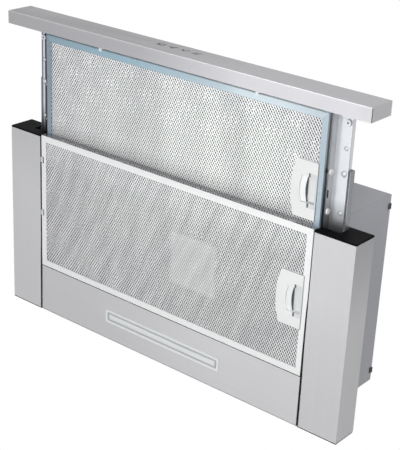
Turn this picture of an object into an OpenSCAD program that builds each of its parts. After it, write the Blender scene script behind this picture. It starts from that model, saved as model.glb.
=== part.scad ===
// Telescopic range hood with a pull-out filter tray, drawn with the tray out.
// X is the width, -Y the room side, +Y the wall side and +Z up.
// The origin is the centre of the footprint with the tray out, on the plane of the underside.

/* [Front bar] */
// Length of the front bar
bar_w = 598; // [594:1:640]
// Height of the front bar
bar_h = 42; // [41:0.5:60]
// Depth of the front bar from front to back
bar_t = 18; // [17:0.5:26]
// Height of the lips folded down and up at the back of the bar
bar_lip = 6; // [3:0.5:8]

/* [Buttons] */
// Place of the first button across the bar
button_x = -36.5; // [-60:0.5:0]
// Distance from one button to the next
button_pitch = 19.6; // [16.5:0.1:26]
// Height of the buttons' centre
button_z = 25; // [15:0.5:27]
// Width of a button
button_w = 13; // [8:0.5:14]
// Height of a button
button_h = 10; // [6:0.5:14]
// Distance that a button is pressed
button_travel = 1; // [0.5:0.1:1.2]

/* [Casing] */
// Width of the body over its side trims
body_w = 593; // [585:1:594]
// Depth of the body from its front to the wall
body_depth = 277; // [272:1:300]
// Distance from the front bar to the body with the tray out
tray_out = 150; // [120:1:158]
// Distance from the trims' outer side to the casing's side
case_step = 55.5; // [53.5:0.5:58]
// Height of the casing
case_h = 170; // [168:1:200]
// Thickness of the folded sheet
sheet = 0.8; // [0.6:0.1:1]
// Bottom edge of the apron in front of the filters
apron_z = 28; // [27:0.5:36]

/* [Side trims] */
// Width of a side trim
trim_w = 59.5; // [58:0.5:62]
// Height of a side trim
trim_h = 40; // [40:0.5:46]
// Height of the trim's inner lip beside the filter
trim_lip_h = 10; // [8:0.5:12]
// Width of the flange that the trim is screwed up by
return_w = 22; // [16:0.5:24]
// Thickness of the front cap's face
cap_t = 2.5; // [2:0.1:4]
// Thickness of the rear cap
rear_cap_t = 1.5; // [1:0.1:3]
// Length of the plug behind a cap's face
plug_l = 6; // [3:0.5:12]
// Wall of the plug behind a cap's face
plug_wall = 1.5; // [1:0.1:2.5]

/* [Filters] */
// Clearance beside a grease filter, on each side
filter_gap = 2; // [1:0.1:4]
// Depth of a grease filter
filter_d = 203; // [190:1:206]
// Thickness of a grease filter
filter_t = 9; // [8.5:0.1:9.6]
// Width of the filter frame's rim
rim_w = 9; // [7:0.5:12]
// Height of the fixed filter's underside
fixed_filter_z = 0.8; // [0.6:0.1:1]
// Height of the tray filter's underside
tray_filter_z = 11.5; // [11.3:0.1:12]
// Distance from the bar's back to the tray filter
tray_filter_gap = 6; // [4:0.5:8]
// Pitch of the coarse mesh openings along the width
mesh_pitch_x = 18; // [18:0.5:30]
// Pitch of the coarse mesh openings along the depth
mesh_pitch_y = 17; // [17:0.5:30]
// Width of the strands between the mesh openings
strand = 3; // [2:0.1:6]
// Thickness of the mesh
mesh_t = 2.4; // [1:0.1:5]

/* [Filter grips] */
// Length of a grip along the filter's edge
grip_l = 74; // [60:1:90]
// Width of a grip
grip_w = 35; // [33:0.5:40]
// Distance from the filter's edge to the grip
grip_inset = 7; // [5:0.5:9]
// Height that a grip stands out of the filter
grip_proud = 0.5; // [0.2:0.1:0.6]
// Length of the finger recess
recess_l = 34; // [28:0.5:44]
// Width of the finger recess
recess_w = 23; // [20:0.5:24]
// Width of the finger pull beside the recess
pull_w = 8.5; // [5:0.5:9]
// Distance that a latch is pulled
latch_travel = 4.5; // [3:0.1:5]
// Width of the latch nose
latch_w = 10; // [6:0.5:14]

/* [Filter hinge] */
// Distance of the filter's pins from its edge
hinge_inset = 1.2; // [1:0.1:1.5]
// Height of the pins over the filter's underside
hinge_rise = 1.4; // [1.3:0.1:1.8]
// Radius of a pin
hinge_pin_r = 0.8; // [0.6:0.05:0.9]
// Distance from the filter's front edge to the first pin
hook_first = 37; // [20:1:60]
// Distance between the two pins
hook_pitch = 82; // [60:1:120]
// Length of the notch round a pin
notch_l = 10; // [8:0.5:14]

/* [Slides] */
// Distance from the trim's inner side to the slide's centre line
slide_in = 14; // [13.6:0.1:14.4]
// Height of the fixed slide member's flanges
slide_h = 10.9; // [10.7:0.1:11]
// Thickness of the slide members
slide_t = 1.2; // [1:0.05:1.25]
// Radius of the balls
ball_r = 0.9; // [0.7:0.05:1]
// Number of balls in a row
balls = 8; // [4:1:12]
// Distance from one ball to the next
ball_pitch = 18; // [6:0.5:19]
// Length of the inner slide member
inner_l = 250; // [240:1:256]
// Length of the middle slide member
middle_l = 256; // [240:1:262]

/* [Tray] */
// Height of the tray rail's web
rail_z = 25.8; // [25.2:0.1:26]
// Thickness of the tray rail
rail_t = 0.9; // [0.7:0.05:1]
// Width of the tray rail's web
rail_w = 21.5; // [20:0.5:22]
// Depth of the tray rail's inner wall
rail_drop = 11.2; // [11:0.1:13]
// Height of the strip behind the tray filter
strip_h = 11.4; // [10.5:0.1:13]
// Depth of the strip behind the tray filter
strip_d = 9.6; // [6:0.2:12]
// Radius of the nylon pads beside the tray filter
pad_r = 3.8; // [3:0.1:4.2]
// Distance from the tray filter's front to the first nylon pad
pad_first = 74; // [60:0.5:80]
// Distance between the nylon pads
pad_pitch = 50.5; // [30:0.5:80]
// Distance of the rail's screw from the bar's back
screw_first = 16; // [12:0.5:20]
// Distance of the rail's fasteners from the slide's centre line
fastener_out = 3; // [2:0.1:4]
// Distance from the screw to the first flat rivet
rivet_1 = 32; // [20:0.5:40]
// Distance from the screw to the domed rivet
rivet_2 = 64; // [52:0.5:80]
// Distance from the screw to the second flat rivet
rivet_3 = 114.5; // [95:0.5:150]
// Distance of the filter clips from the middle of the bar
clip_x = 131; // [60:1:200]
// Width of a filter clip
clip_w = 5; // [4:0.5:16]

/* [Light] */
// Clearance between the light panel and the fixed filter
panel_gap = 1; // [0.6:0.1:3]
// Length of the lamp
lamp_l = 208; // [120:1:300]
// Width of the lamp
lamp_w = 20; // [16:0.5:28]
// Distance from the wall to the lamp's centre
lamp_back = 37; // [30:0.5:44]
// Width of the lamp's rim
lamp_rim = 2.3; // [2:0.1:4]
// Depth of the lamp's housing
lamp_h = 12; // [10:0.5:16]
// Number of light emitting diodes
leds = 14; // [6:1:20]

/* [Fan] */
// Height of the fan's axis
fan_z = 112; // [111:0.5:114]
// Distance from the body's front to the fan's axis
fan_back = 119; // [105:1:130]
// Width of the fan housing
fan_w = 84; // [80:1:100]
// Smallest radius of the scroll
scroll_min = 46; // [45:0.5:50]
// Largest radius of the scroll
scroll_max = 60; // [56:0.5:64]
// Wall of the fan housing
fan_wall = 1.6; // [1.2:0.1:2.4]
// Radius of the fan wheel
wheel_r = 40; // [38:0.5:42]
// Number of blades of the fan wheel
blades = 20; // [12:1:32]
// Radius of the motor
motor_r = 26; // [20:0.5:28]
// Length of the motor
motor_l = 32; // [24:0.5:36]
// Radius of the motor's shaft
shaft_r = 3; // [2:0.1:4]
// Radial running clearance of shafts and pins
running = 0.05; // [0.02:0.01:0.08]

/* [Outlet] */
// Outer diameter of the duct spigot
spigot_d = 120; // [100:1:125]
// Height of the spigot above the casing
spigot_h = 36; // [30:0.5:60]
// Wall of the spigot
spigot_wall = 2; // [1.5:0.1:3]
// Diameter of the spigot's flange
flange_d = 142; // [136:1:160]
// Thickness of a damper flap
flap_t = 1.5; // [1:0.1:2]
// Radius of the bar that the flaps turn on
flap_bar_r = 2; // [1.5:0.1:2.5]
// Height of the flaps above the casing
flap_z = 10; // [8:0.5:12]

/* [Electrics] */
// Distance of the terminal box from the casing's side
box_in = 81; // [61:1:91]
// Width of the terminal box
box_w = 84; // [60:1:90]
// Depth of the terminal box
box_d = 56; // [40:1:60]
// Height of the terminal box
box_h = 38; // [28:1:50]
// Radius of the cable's passage through the gland
gland_bore = 4.5; // [3:0.1:6]
// Radius of the motor capacitor
capacitor_r = 14; // [10:0.5:20]
// Length of the motor capacitor
capacitor_l = 52; // [30:1:60]

/* [Fixings] */
// Distance of the cabinet screws from the trims' outer side
cabinet_in = 16.5; // [13.5:0.5:19.5]
// Distance between the cabinet screws from front to back
cabinet_y = 213; // [150:1:230]
// Radius of the holes for the cabinet screws
cabinet_r = 2.75; // [2:0.05:3.5]
// Distance of the trim screws from the trim's ends
trim_screw_in = 60; // [50:1:100]
// Distance of the casing's clips from its front and from the wall
case_clip_in = 16; // [12:0.5:28]
// Width of the clips at the casing's top edge
case_clip_l = 8; // [6:0.5:20]
// Height of the clips
case_clip_h = 6; // [4:0.5:20]
// Height of the clips' hooked part
case_clip_hook = 2.5; // [2:0.5:6]
// Distance that the clips stand out of the casing
case_clip_out = 1.6; // [1.2:0.1:4]

/* [Hidden] */

// Smoothness of round things, and the clearances shared by all the fits
$fn = 48;
gap = 0.3;
eps = 0.01;

// Planes across the depth
open_depth = bar_t + tray_out + body_depth;
y_front = -open_depth / 2;
y_bar_back = y_front + bar_t;
y_body = y_bar_back + tray_out;
y_wall = y_body + body_depth;
y_plate = y_bar_back - sheet;
bar_tab = 9;

// Planes across the width
trim_out = body_w / 2;
trim_in = trim_out - trim_w;
case_x = trim_out - case_step;
shell_x = case_x - sheet - gap;

// Heights
flange_z = trim_h - sheet;
return_z = flange_z - gap - sheet;
top_z = case_h - sheet;
under_top = top_z - gap;

// Screws, and the holes that they pass
thread_r = 1.6;
hole_r = 1.7;
trim_thread_r = 2;
trim_hole_r = 2.1;
edge_flange = 12;
edge_screw_in = 40;
weld_flange = 6;
weld_x = case_x - edge_flange - gap;
collar_screw_at = (spigot_d + flange_d) / 4;

// Slides, nested about one centre line: web height and half widths
slide_x = trim_in + slide_in;
slide_top = flange_z - gap;
slide_low = slide_top - slide_h;
ball_gap = 2 * (ball_r + gap);
inner_half = 8;
middle_half = inner_half + ball_gap + slide_t;
outer_half = middle_half + ball_gap + slide_t;
middle_top = slide_top - slide_t - ball_gap / 2 - 0.1;
middle_low = rail_z + rail_t + gap;
inner_top = middle_top - slide_t - ball_gap / 2 - 0.2;
// The middle members run out half as far as the tray, which stops short of the caps by stop_gap
stop_gap = 1;
apron_x = slide_x - outer_half - 3;
back_x = trim_in - gap;
cap_open_x = slide_x + middle_half + 1.4;
tray_travel = tray_out - stop_gap;
y_middle = y_bar_back + tray_travel / 2 + stop_gap;
y_slide_front = y_plate + gap;

// Filters
y_fixed = y_body;
y_tray = y_bar_back + tray_filter_gap;
filter_x = trim_in - filter_gap;
grip_out = filter_x - grip_inset;
grip_in = grip_out - grip_w;
recess_out = grip_out - 2.5;
recess_in = recess_out - recess_w;
recess_depth = 7.2;
grip_h = filter_t - sheet - 1.5 * gap;
latch_floor = 5.6;
latch_t = 1.2;
skin_t = 1.2;
skin_lap = 1;
pull_bow = 3;
pull_x = recess_in - skin_lap;
latch_nose = trim_in - gap;
keeper_gap = 0.6;
hinge_x = -(filter_x - hinge_inset);
notch_d = 4.4;
pin_end = 0.5;
tongue_t = 0.8;

// Tray
rail_in = trim_in + 1;
rail_l = y_tray + filter_d + strip_d - y_slide_front;
rail_low = rail_z + rail_t - rail_drop;
tray_latch_nose = rail_in + rail_t + 1.2;
pad_y = y_tray + pad_first;
pad_z = rail_z - pad_r - 1.6;
pad_stem_r = 1.5;
pad_head = 2.2;
fastener_x = slide_x + fastener_out;
screw_y = y_bar_back + screw_first;
rivet_r = 2;
rivet_hole_r = 2.1;
rivet_back_r = 3;
rivet_back_h = 0.8;
flat_r = 2.6;
flat_h = 0.6;
dome_r = 3.6;
dome_h = 1.5;
screw_head_r = 4;
screw_head_h = 2.2;
screw_socket_r = 1.3;
clip_lip = 2;
clip_h = 7;
strip_y = y_tray + filter_d + gap;
strip_low = tray_filter_z - gap - sheet;

// Light panel and lamp
panel_x = trim_in - 2;
panel_z = 1;
panel_y = y_fixed + filter_d + panel_gap;
panel_back = y_wall - sheet - gap;
lamp_y = y_wall - lamp_back;
cut_l = lamp_l - 2 * lamp_rim;
cut_w = lamp_w - 2 * lamp_rim;
lamp_wall = 1.2;
lamp_fit = 0.4;
bezel_neck = 6;
reflector_wall = 0.8;
lens_z = 0.5;
lens_t = 1.5;
lens_l = cut_l - lamp_fit - 2 * lamp_wall - 2 * gap;
lens_w = cut_w - lamp_fit - 2 * lamp_wall - 2 * gap;
led_size = 3;

// Control board, behind the buttons
button_d = 7;
board_t = 1.6;
board_half_h = 8;
switch_t = 1.2;
switch_w = 6;
post_r = 2.5;
board_x = button_x + 1.5 * button_pitch;
board_margin = 17;
board_l = 3 * button_pitch + 2 * board_margin;
board_front = y_front + button_d + button_travel + gap + switch_t;
board_back = board_front + board_t;

// Fan and outlet
fan_y = y_body + fan_back;
fan_half = fan_w / 2;
blade_half = fan_half - fan_wall - 4;
blade_l = 8.5;
inlet_r = wheel_r - 5;
tongue_y = scroll_min / 2;
spigot_y = fan_y + (tongue_y + scroll_max) / 2;
spigot_r = spigot_d / 2;
flap_r = spigot_r - spigot_wall - 1.5;
flap_h = case_h + flap_z;
knuckle_r = flap_bar_r + 1;
motor_x = 14;
mouth_t = 2.2;
collar_t = 2;
knuckle_l = 12;

// Electrics, hung from the casing's top
box_x = case_x - box_in;
box_y = y_wall - weld_flange - box_d / 2 - 1;
box_low = under_top - box_h;
box_wall = 2;
gland_neck = 8;
gland_flange = 3;
gland_top = 6;
gland_under = 8;
gland_nut = 5;
capacitor_x = -box_x;

// A box between two corners
module block(low, high) {
    translate(low) cube(high - low);
}

// A round bar along X between two places, and one along Y
module bar_x(x0, x1, r) {
    translate([x0, 0, 0]) rotate([0, 90, 0]) cylinder(r = r, h = x1 - x0);
}
module bar_y(y0, y1, r) {
    translate([0, y0, 0]) rotate([-90, 0, 0]) cylinder(r = r, h = y1 - y0);
}

// The left-hand piece is the mirror image of the right-hand one
module left() {
    mirror([1, 0, 0]) children();
}

// Both sides of the hood
module both() {
    children();
    left() children();
}

// Casing
module shell_holes() {
    translate([0, spigot_y, top_z - eps]) cylinder(r = spigot_r - spigot_wall, h = 1 + sheet);
    translate([box_x, box_y, top_z - eps]) cylinder(r = gland_neck + gap, h = 1 + sheet);
    collar_screw_places() translate([0, 0, top_z - eps]) cylinder(r = hole_r, h = 1 + sheet);
    both() edge_screw_places() translate([0, 0, top_z - eps]) cylinder(r = hole_r, h = 1 + sheet);
}
// The top, and the front and back sheets with a flange welded under it
module casing_shell() color([0.60, 0.61, 0.63]) {
    difference() {
        block([-shell_x, y_body, top_z], [shell_x, y_wall, case_h]);
        shell_holes();
    }
    block([-shell_x, y_body, trim_h], [shell_x, y_body + sheet, under_top]);
    block([-apron_x, y_body, apron_z], [apron_x, y_body + sheet, trim_h + sheet]);
    block([-weld_x, y_body, under_top - sheet], [weld_x, y_body + weld_flange, under_top]);
    block([-shell_x, y_wall - sheet, trim_h], [shell_x, y_wall, under_top]);
    block([-back_x, y_wall - sheet, panel_z], [back_x, y_wall, trim_h + sheet]);
    block([-weld_x, y_wall - weld_flange, under_top - sheet], [weld_x, y_wall, under_top]);
}

// Side panels, with a flange out over the trims and one folded in under the top
module side_panel() difference() {
    union() {
        block([case_x - sheet, y_body, flange_z], [case_x, y_wall, case_h]);
        block([case_x - sheet, y_body, flange_z], [trim_out - sheet - gap, y_wall, trim_h]);
        block([case_x - edge_flange, y_body + sheet + gap, under_top - sheet],
              [case_x, y_wall - sheet - gap, under_top]);
    }
    // Clearance over the front cap
    block([case_x - sheet - 1, y_body - 1, flange_z - 1], [trim_out, y_body + cap_t + gap, trim_h + gap]);
    cabinet_screw_places() translate([0, 0, flange_z - 1]) cylinder(r = cabinet_r, h = sheet + 2);
    trim_screw_places() translate([0, 0, flange_z - 1]) cylinder(r = trim_hole_r, h = sheet + 2);
    edge_screw_places() translate([0, 0, under_top - 1.5 * sheet]) cylinder(r = hole_r, h = 2 * sheet);
}
module side_panel_right() color([0.58, 0.59, 0.61]) side_panel();
module side_panel_left() color([0.58, 0.59, 0.61]) left() side_panel();

// Places of the fixings on the right-hand side
module cabinet_screw_places() {
    for (s = [-1, 1])
        translate([trim_out - cabinet_in, y_body + body_depth / 2 + s * cabinet_y / 2, 0]) children();
}
module trim_screw_places() {
    for (y = [y_body + trim_screw_in, y_wall - trim_screw_in])
        translate([trim_out - return_w / 2 + 3, y, 0]) children();
}
module edge_screw_places() {
    for (y = [y_body + edge_screw_in, y_body + body_depth / 2, y_wall - edge_screw_in])
        translate([case_x - edge_flange / 2, y, 0]) children();
}
module collar_screw_places() {
    for (a = [45:90:315])
        translate([0, spigot_y, 0]) rotate([0, 0, a]) translate([collar_screw_at, 0, 0]) children();
}

// Side trims: a folded profile that closes the hood's underside beside the filters
module side_trim() difference() {
    y0 = y_body + cap_t;
    y1 = y_wall - rear_cap_t;
    union() {
        block([trim_in, y0, 0], [trim_out, y1, sheet]);
        block([trim_in, y0, 0], [trim_in + sheet, y1, trim_lip_h]);
        block([trim_out - sheet, y0, 0], [trim_out, y1, trim_h]);
        block([trim_out - return_w, y0, return_z], [trim_out, y1, return_z + sheet]);
    }
    cabinet_screw_places() translate([0, 0, return_z - 1]) cylinder(r = cabinet_r, h = sheet + 2);
    trim_screw_places() translate([0, 0, return_z - 1]) cylinder(r = trim_hole_r, h = sheet + 2);
}
module side_trim_right() color([0.78, 0.79, 0.80]) difference() {
    side_trim();
    // Keeper for the fixed filter's latch
    latch_slot(trim_in, y_fixed, fixed_filter_z, sheet);
}
// Slot that a latch's nose goes into, in a wall of thickness t
module latch_slot(x, y0, z0, t) {
    translate([x - 1, y0 + filter_d / 2 - latch_w / 2 - keeper_gap, z0 + latch_floor - keeper_gap])
        cube([t + 2, latch_w + 2 * keeper_gap, latch_t + 2 * keeper_gap]);
}
module side_trim_left() color([0.78, 0.79, 0.80]) left() side_trim();

// Caps in the trims' ends. The front ones are open where the slides run through
module cap_plug(y0, y1) {
    block([trim_in + sheet + gap, y0, sheet + gap], [trim_out - sheet - gap, y1, sheet + gap + plug_wall]);
    block([trim_out - sheet - gap - plug_wall, y0, sheet + gap],
          [trim_out - sheet - gap, y1, return_z - gap]);
}
module front_cap() {
    difference() {
        block([trim_in, y_body, 0], [trim_out, y_body + cap_t, trim_h]);
        block([trim_in - 1, y_body - 1, rail_low - gap], [cap_open_x, y_body + cap_t + 1, slide_top]);
    }
    cap_plug(y_body + cap_t - eps, y_body + cap_t + plug_l);
}
module front_cap_right() color([0.08, 0.08, 0.09]) front_cap();
module front_cap_left() color([0.08, 0.08, 0.09]) left() front_cap();
module rear_cap() {
    block([trim_in, y_wall - rear_cap_t, 0], [trim_out, y_wall, flange_z - gap]);
    cap_plug(y_wall - rear_cap_t - plug_l, y_wall - rear_cap_t + eps);
}
module rear_cap_right() color([0.08, 0.08, 0.09]) rear_cap();
module rear_cap_left() color([0.08, 0.08, 0.09]) left() rear_cap();

// Light panel: a folded tray between the trims, behind the fixed filter
module light_panel() color([0.77, 0.77, 0.78]) difference() {
    union() {
        block([-panel_x, panel_y, panel_z], [panel_x, panel_back, panel_z + sheet]);
        block([-panel_x, panel_y, panel_z], [panel_x, panel_y + sheet, trim_lip_h - 1]);
        block([-panel_x, panel_back - sheet, panel_z], [panel_x, panel_back, slide_top - 1]);
        for (s = [-1, 1])
            block([min(s * panel_x, s * (panel_x - sheet)), panel_y, panel_z],
                  [max(s * panel_x, s * (panel_x - sheet)), panel_back, trim_lip_h - 1]);
    }
    translate([0, lamp_y, 0]) cube([cut_l, cut_w, 3 * (panel_z + sheet)], center = true);
}

// Lamp: a snap-in bezel with a clear lens, a reflector and a strip of diodes
module rounded_plate(l, w, r, t) {
    linear_extrude(t) union() {
        square([l - 2 * r, w], center = true);
        square([l, w - 2 * r], center = true);
        for (x = [-1, 1], y = [-1, 1]) translate([x * (l / 2 - r), y * (w / 2 - r)]) circle(r);
    }
}
module lamp_bezel() color([0.86, 0.87, 0.88]) translate([0, lamp_y, 0]) difference() {
    union() {
        rounded_plate(lamp_l, lamp_w, 3, panel_z);
        translate([0, 0, panel_z - eps])
            rounded_plate(cut_l - lamp_fit, cut_w - lamp_fit, 1, bezel_neck);
    }
    translate([0, 0, -1]) rounded_plate(lens_l + 2 * gap, lens_w + 2 * gap, 1, 20);
}
module lamp_lens() color([0.92, 0.94, 0.96, 0.5])
    translate([0, lamp_y, lens_z]) rounded_plate(lens_l, lens_w, 1, lens_t);
module lamp_reflector() color([0.93, 0.93, 0.92]) translate([0, lamp_y, lens_z + lens_t]) difference() {
    h = lamp_h - lens_z - lens_t;
    rounded_plate(lens_l, lens_w, 1, h);
    translate([0, 0, -1]) rounded_plate(lens_l - 2 * reflector_wall, lens_w - 2 * reflector_wall, 1, h);
}
module led_board() color([0.95, 0.95, 0.90]) translate([0, lamp_y, lamp_h - 1]) {
    strip_l = lens_l - 2 * reflector_wall - 2 * gap;
    strip_w = lens_w - 2 * reflector_wall - 2 * gap;
    translate([0, 0, -1]) linear_extrude(1) square([strip_l, strip_w], center = true);
    for (i = [0:leds - 1])
        translate([(i - (leds - 1) / 2) * strip_l / leds, 0, -1.8 + eps / 2]) linear_extrude(0.8)
            square([led_size, led_size], center = true);
}

// Slides: a fixed member under the casing's flange, a middle one and one on the tray
module channel(half, y0, y1, z0, z1, t) {
    block([slide_x - half, y0, z1 - t], [slide_x + half, y1, z1]);
    block([slide_x - half, y0, z0], [slide_x - half + t, y1, z1]);
    block([slide_x + half - t, y0, z0], [slide_x + half, y1, z1]);
}
module slide_outer() channel(outer_half, y_body + cap_t + gap, y_wall - 4, slide_low, slide_top, slide_t);
module slide_outer_right() color([0.72, 0.73, 0.74]) slide_outer();
module slide_outer_left() color([0.72, 0.73, 0.74]) left() slide_outer();
module slide_middle() channel(middle_half, y_middle, y_middle + middle_l, middle_low, middle_top, slide_t);
module slide_middle_right() color([0.66, 0.67, 0.68]) slide_middle();
module slide_middle_left() color([0.66, 0.67, 0.68]) left() slide_middle();
module slide_inner() difference() {
    union() {
        y1 = y_slide_front + inner_l;
        block([slide_x - inner_half, y_slide_front, middle_low],
              [slide_x + inner_half, y1, middle_low + slide_t]);
        for (s = [-1, 1])
            translate([slide_x + s * (inner_half - slide_t / 2), 0, 0])
                block([-slide_t / 2, y_slide_front, middle_low], [slide_t / 2, y1, inner_top]);
    }
    rail_hole_places() cylinder(r = rivet_hole_r, h = rail_z + 10);
}
module slide_inner_right() color([0.74, 0.75, 0.76]) slide_inner();
module slide_inner_left() color([0.74, 0.75, 0.76]) left() slide_inner();

// Ball cages: one between the inner and middle members, one between the middle and outer ones
module cage(half, top, y0) {
    leg = half + ball_gap / 2;
    ball_z = top - 3.6;
    block([slide_x - leg - 0.3, y0, top - 0.5], [slide_x + leg + 0.3, y0 + balls * ball_pitch, top]);
    for (s = [-1, 1]) translate([slide_x + s * leg, 0, 0]) {
        block([-0.3, y0, ball_z - 1], [0.3, y0 + balls * ball_pitch, top]);
        for (i = [0:balls - 1])
            translate([0, y0 + (i + 0.5) * ball_pitch, ball_z]) sphere(r = ball_r, $fn = 24);
    }
}
module ball_cages() {
    cage(inner_half, inner_top + ball_gap / 4 + 0.25, y_middle + 8);
    cage(middle_half, middle_top + ball_gap / 4 + 0.25, y_body + cap_t + 10);
}
module ball_cages_right() color([0.55, 0.56, 0.58]) ball_cages();
module ball_cages_left() color([0.55, 0.56, 0.58]) left() ball_cages();

// Front bar, closed by two end plates and a plate behind
module button_places() {
    for (i = [0:3]) translate([button_x + i * button_pitch, y_front, button_z]) children();
}
module button_plate(w, h, r, t) {
    rotate([-90, 0, 0]) rounded_plate(w, h, r, t);
}
module front_bar() color([0.76, 0.77, 0.78]) difference() {
    x = bar_w / 2 - sheet;
    union() {
        block([-x, y_front, 0], [x, y_front + sheet, bar_h]);
        block([-x, y_front, 0], [x, y_bar_back, sheet]);
        block([-x, y_front, bar_h - sheet], [x, y_bar_back, bar_h]);
        block([-x, y_plate, 0], [x, y_bar_back, bar_lip]);
        block([-x, y_plate, bar_h - bar_lip], [x, y_bar_back, bar_h]);
    }
    button_places() translate([0, -1, 0]) button_plate(button_w, button_h, 1.5, sheet + 2);
}
module bar_end() {
    x = bar_w / 2;
    block([x - sheet, y_front, 0], [x, y_bar_back, bar_h]);
    block([x - bar_tab, y_front + sheet + gap, sheet + gap],
          [x - sheet + eps, y_plate - 2 * gap - sheet, 2 * sheet + gap]);
}
module bar_end_right() color([0.70, 0.71, 0.72]) bar_end();
module bar_end_left() color([0.70, 0.71, 0.72]) left() bar_end();
module bar_back_plate() color([0.62, 0.63, 0.65]) {
    x = bar_w / 2 - sheet - 1;
    block([-x, y_plate - sheet, sheet + gap], [x, y_plate, bar_h - sheet - gap]);
    for (s = [-1, 1])
        translate([board_x + s * (board_l / 2 - 4), y_plate - sheet, button_z])
            bar_y(board_back - y_plate + sheet, eps, post_r);
}

// Control board, carried by two posts on the back plate
module control_board() color([0.10, 0.35, 0.20]) {
    block([board_x - board_l / 2, board_front, button_z - board_half_h],
          [board_x + board_l / 2, board_back, button_z + board_half_h]);
    button_places() translate([-switch_w / 2, board_front - y_front - switch_t, -switch_w / 2])
        cube([switch_w, switch_t + eps, switch_w]);
}

// Push buttons, flush with the bar, each kept in by a flange behind the bar's face
module push_button(i) translate([button_x + i * button_pitch, y_front, button_z]) {
    button_plate(button_w - 2 * gap, button_h - 2 * gap, 1.2, button_d);
    translate([0, sheet + gap, 0]) button_plate(button_w + 1.6, button_h + 1.6, 2, 1);
}
module button_1() color([0.75, 0.76, 0.77]) push_button(0);
module button_2() color([0.75, 0.76, 0.77]) push_button(1);
module button_3() color([0.75, 0.76, 0.77]) push_button(2);
module button_4() color([0.75, 0.76, 0.77]) push_button(3);

// Tray rails: a web under the inner slide member and a wall beside the filter
module rail_hole_places() {
    for (y = [0, rivet_1, rivet_2, rivet_3]) translate([fastener_x, screw_y + y, 0]) children();
}
module tray_rail() difference() {
    union() {
        y1 = y_slide_front + rail_l;
        block([rail_in, y_slide_front, rail_z], [rail_in + rail_w, y1, rail_z + rail_t]);
        block([rail_in, y_slide_front, rail_low], [rail_in + rail_t, y1, rail_z + rail_t]);
        block([rail_in, y_slide_front, rail_low],
              [rail_in + rail_w, y_slide_front + rail_t, rail_z + rail_t]);
    }
    rail_hole_places() cylinder(r = rivet_hole_r, h = rail_z + 10);
    pad_places() bar_x(-1, 4, pad_stem_r + 0.1);
}
module tray_rail_right() color([0.80, 0.81, 0.82]) difference() {
    tray_rail();
    latch_slot(rail_in, y_tray, tray_filter_z, rail_t);
}
module tray_rail_left() color([0.80, 0.81, 0.82]) left() tray_rail();

// Nylon pads that guide the tray filter's sides
module pad_places() {
    for (y = [0, pad_pitch]) translate([rail_in, pad_y + y, pad_z]) children();
}
module filter_pads() color([0.92, 0.92, 0.90]) both() pad_places() {
    bar_x(rail_t, rail_t + pad_head, pad_r);
    bar_x(filter_x + gap - rail_in, 0, pad_r - 1);
    bar_x(-eps, rail_t + eps, pad_stem_r);
}

// Screws and rivets that hold the tray rail to the inner slide member
module dome(r, h) {
    intersection() {
        translate([0, 0, -h]) cylinder(r = r, h = h);
        translate([0, 0, (r * r - h * h) / (2 * h)]) sphere(r = (r * r + h * h) / (2 * h));
    }
}
module rivet(y, r, h) translate([fastener_x, screw_y + y, rail_z]) {
    dome(r, h);
    translate([0, 0, -eps]) cylinder(r = rivet_r, h = rail_t + gap + slide_t + rivet_back_h / 2);
    translate([0, 0, rail_t + gap + slide_t]) cylinder(r = rivet_back_r, h = rivet_back_h);
}
module rail_fasteners() color([0.85, 0.85, 0.86]) both() {
    translate([fastener_x, screw_y, rail_z]) difference() {
        union() {
            translate([0, 0, -screw_head_h]) cylinder(r = screw_head_r, h = screw_head_h);
            translate([0, 0, -eps]) cylinder(r = rivet_r, h = rail_t + gap + 3 * slide_t);
        }
        translate([0, 0, -screw_head_h - 1]) cylinder(r = screw_socket_r, h = 1 + screw_head_h / 2);
    }
    rivet(rivet_1, flat_r, flat_h);
    rivet(rivet_2, dome_r, dome_h);
    rivet(rivet_3, flat_r, flat_h);
}

// Strip that closes the tray behind its filter and carries the filter's rear edge
module tray_rear_strip() color([0.70, 0.71, 0.72]) {
    x = rail_in - gap;
    z1 = strip_low + strip_h;
    block([-x, strip_y, strip_low], [x, strip_y + sheet, z1]);
    block([-x, strip_y, z1 - sheet], [x, strip_y + strip_d, z1]);
    block([-x, strip_y - 4, strip_low], [x, strip_y + sheet, strip_low + sheet]);
    both() block([x - sheet, strip_y, strip_low], [x, strip_y + strip_d, z1]);
}

// White clips that carry the tray filter's front edge
module front_clips() color([0.95, 0.95, 0.94]) both() translate([clip_x, 0, 0]) {
    z = tray_filter_z - gap - 1;
    block([-clip_w / 2, y_plate, z], [clip_w / 2, y_tray + clip_lip, z + 1]);
    block([-clip_w / 2, y_plate, z], [clip_w / 2, y_tray - gap, z + clip_h]);
}

// Grease filter: a channel frame round an expanded mesh pack, with a grip set in one side
module filter_frame(y0, z0) difference() {
    block([-filter_x, y0, z0], [filter_x, y0 + filter_d, z0 + filter_t]);
    block([-filter_x + rim_w, y0 + rim_w, z0 - 1],
          [filter_x - rim_w, y0 + filter_d - rim_w, z0 + filter_t + 1]);
    block([-filter_x + sheet, y0 + sheet, z0 + sheet],
          [filter_x - sheet, y0 + filter_d - sheet, z0 + filter_t - sheet]);
    grip_cut(y0, z0, 0);
    translate([filter_x - 2, y0 + filter_d / 2 - latch_w / 2 - gap, z0 + latch_floor - gap])
        cube([4, latch_w + 2 * gap, latch_t + 2 * gap]);
}
module filter_mesh(y0, z0) difference() {
    edge = sheet + gap;
    block([-filter_x + edge, y0 + edge, z0 + edge],
          [filter_x - edge, y0 + filter_d - edge, z0 + edge + mesh_t]);
    mesh_cut(y0, z0);
    grip_cut(y0, z0, gap);
    block([grip_out - 2, y0 + filter_d / 2 - latch_w / 2 - gap, z0 - 1],
          [filter_x + 1, y0 + filter_d / 2 + latch_w / 2 + gap, z0 + filter_t + 1]);
}
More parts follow.
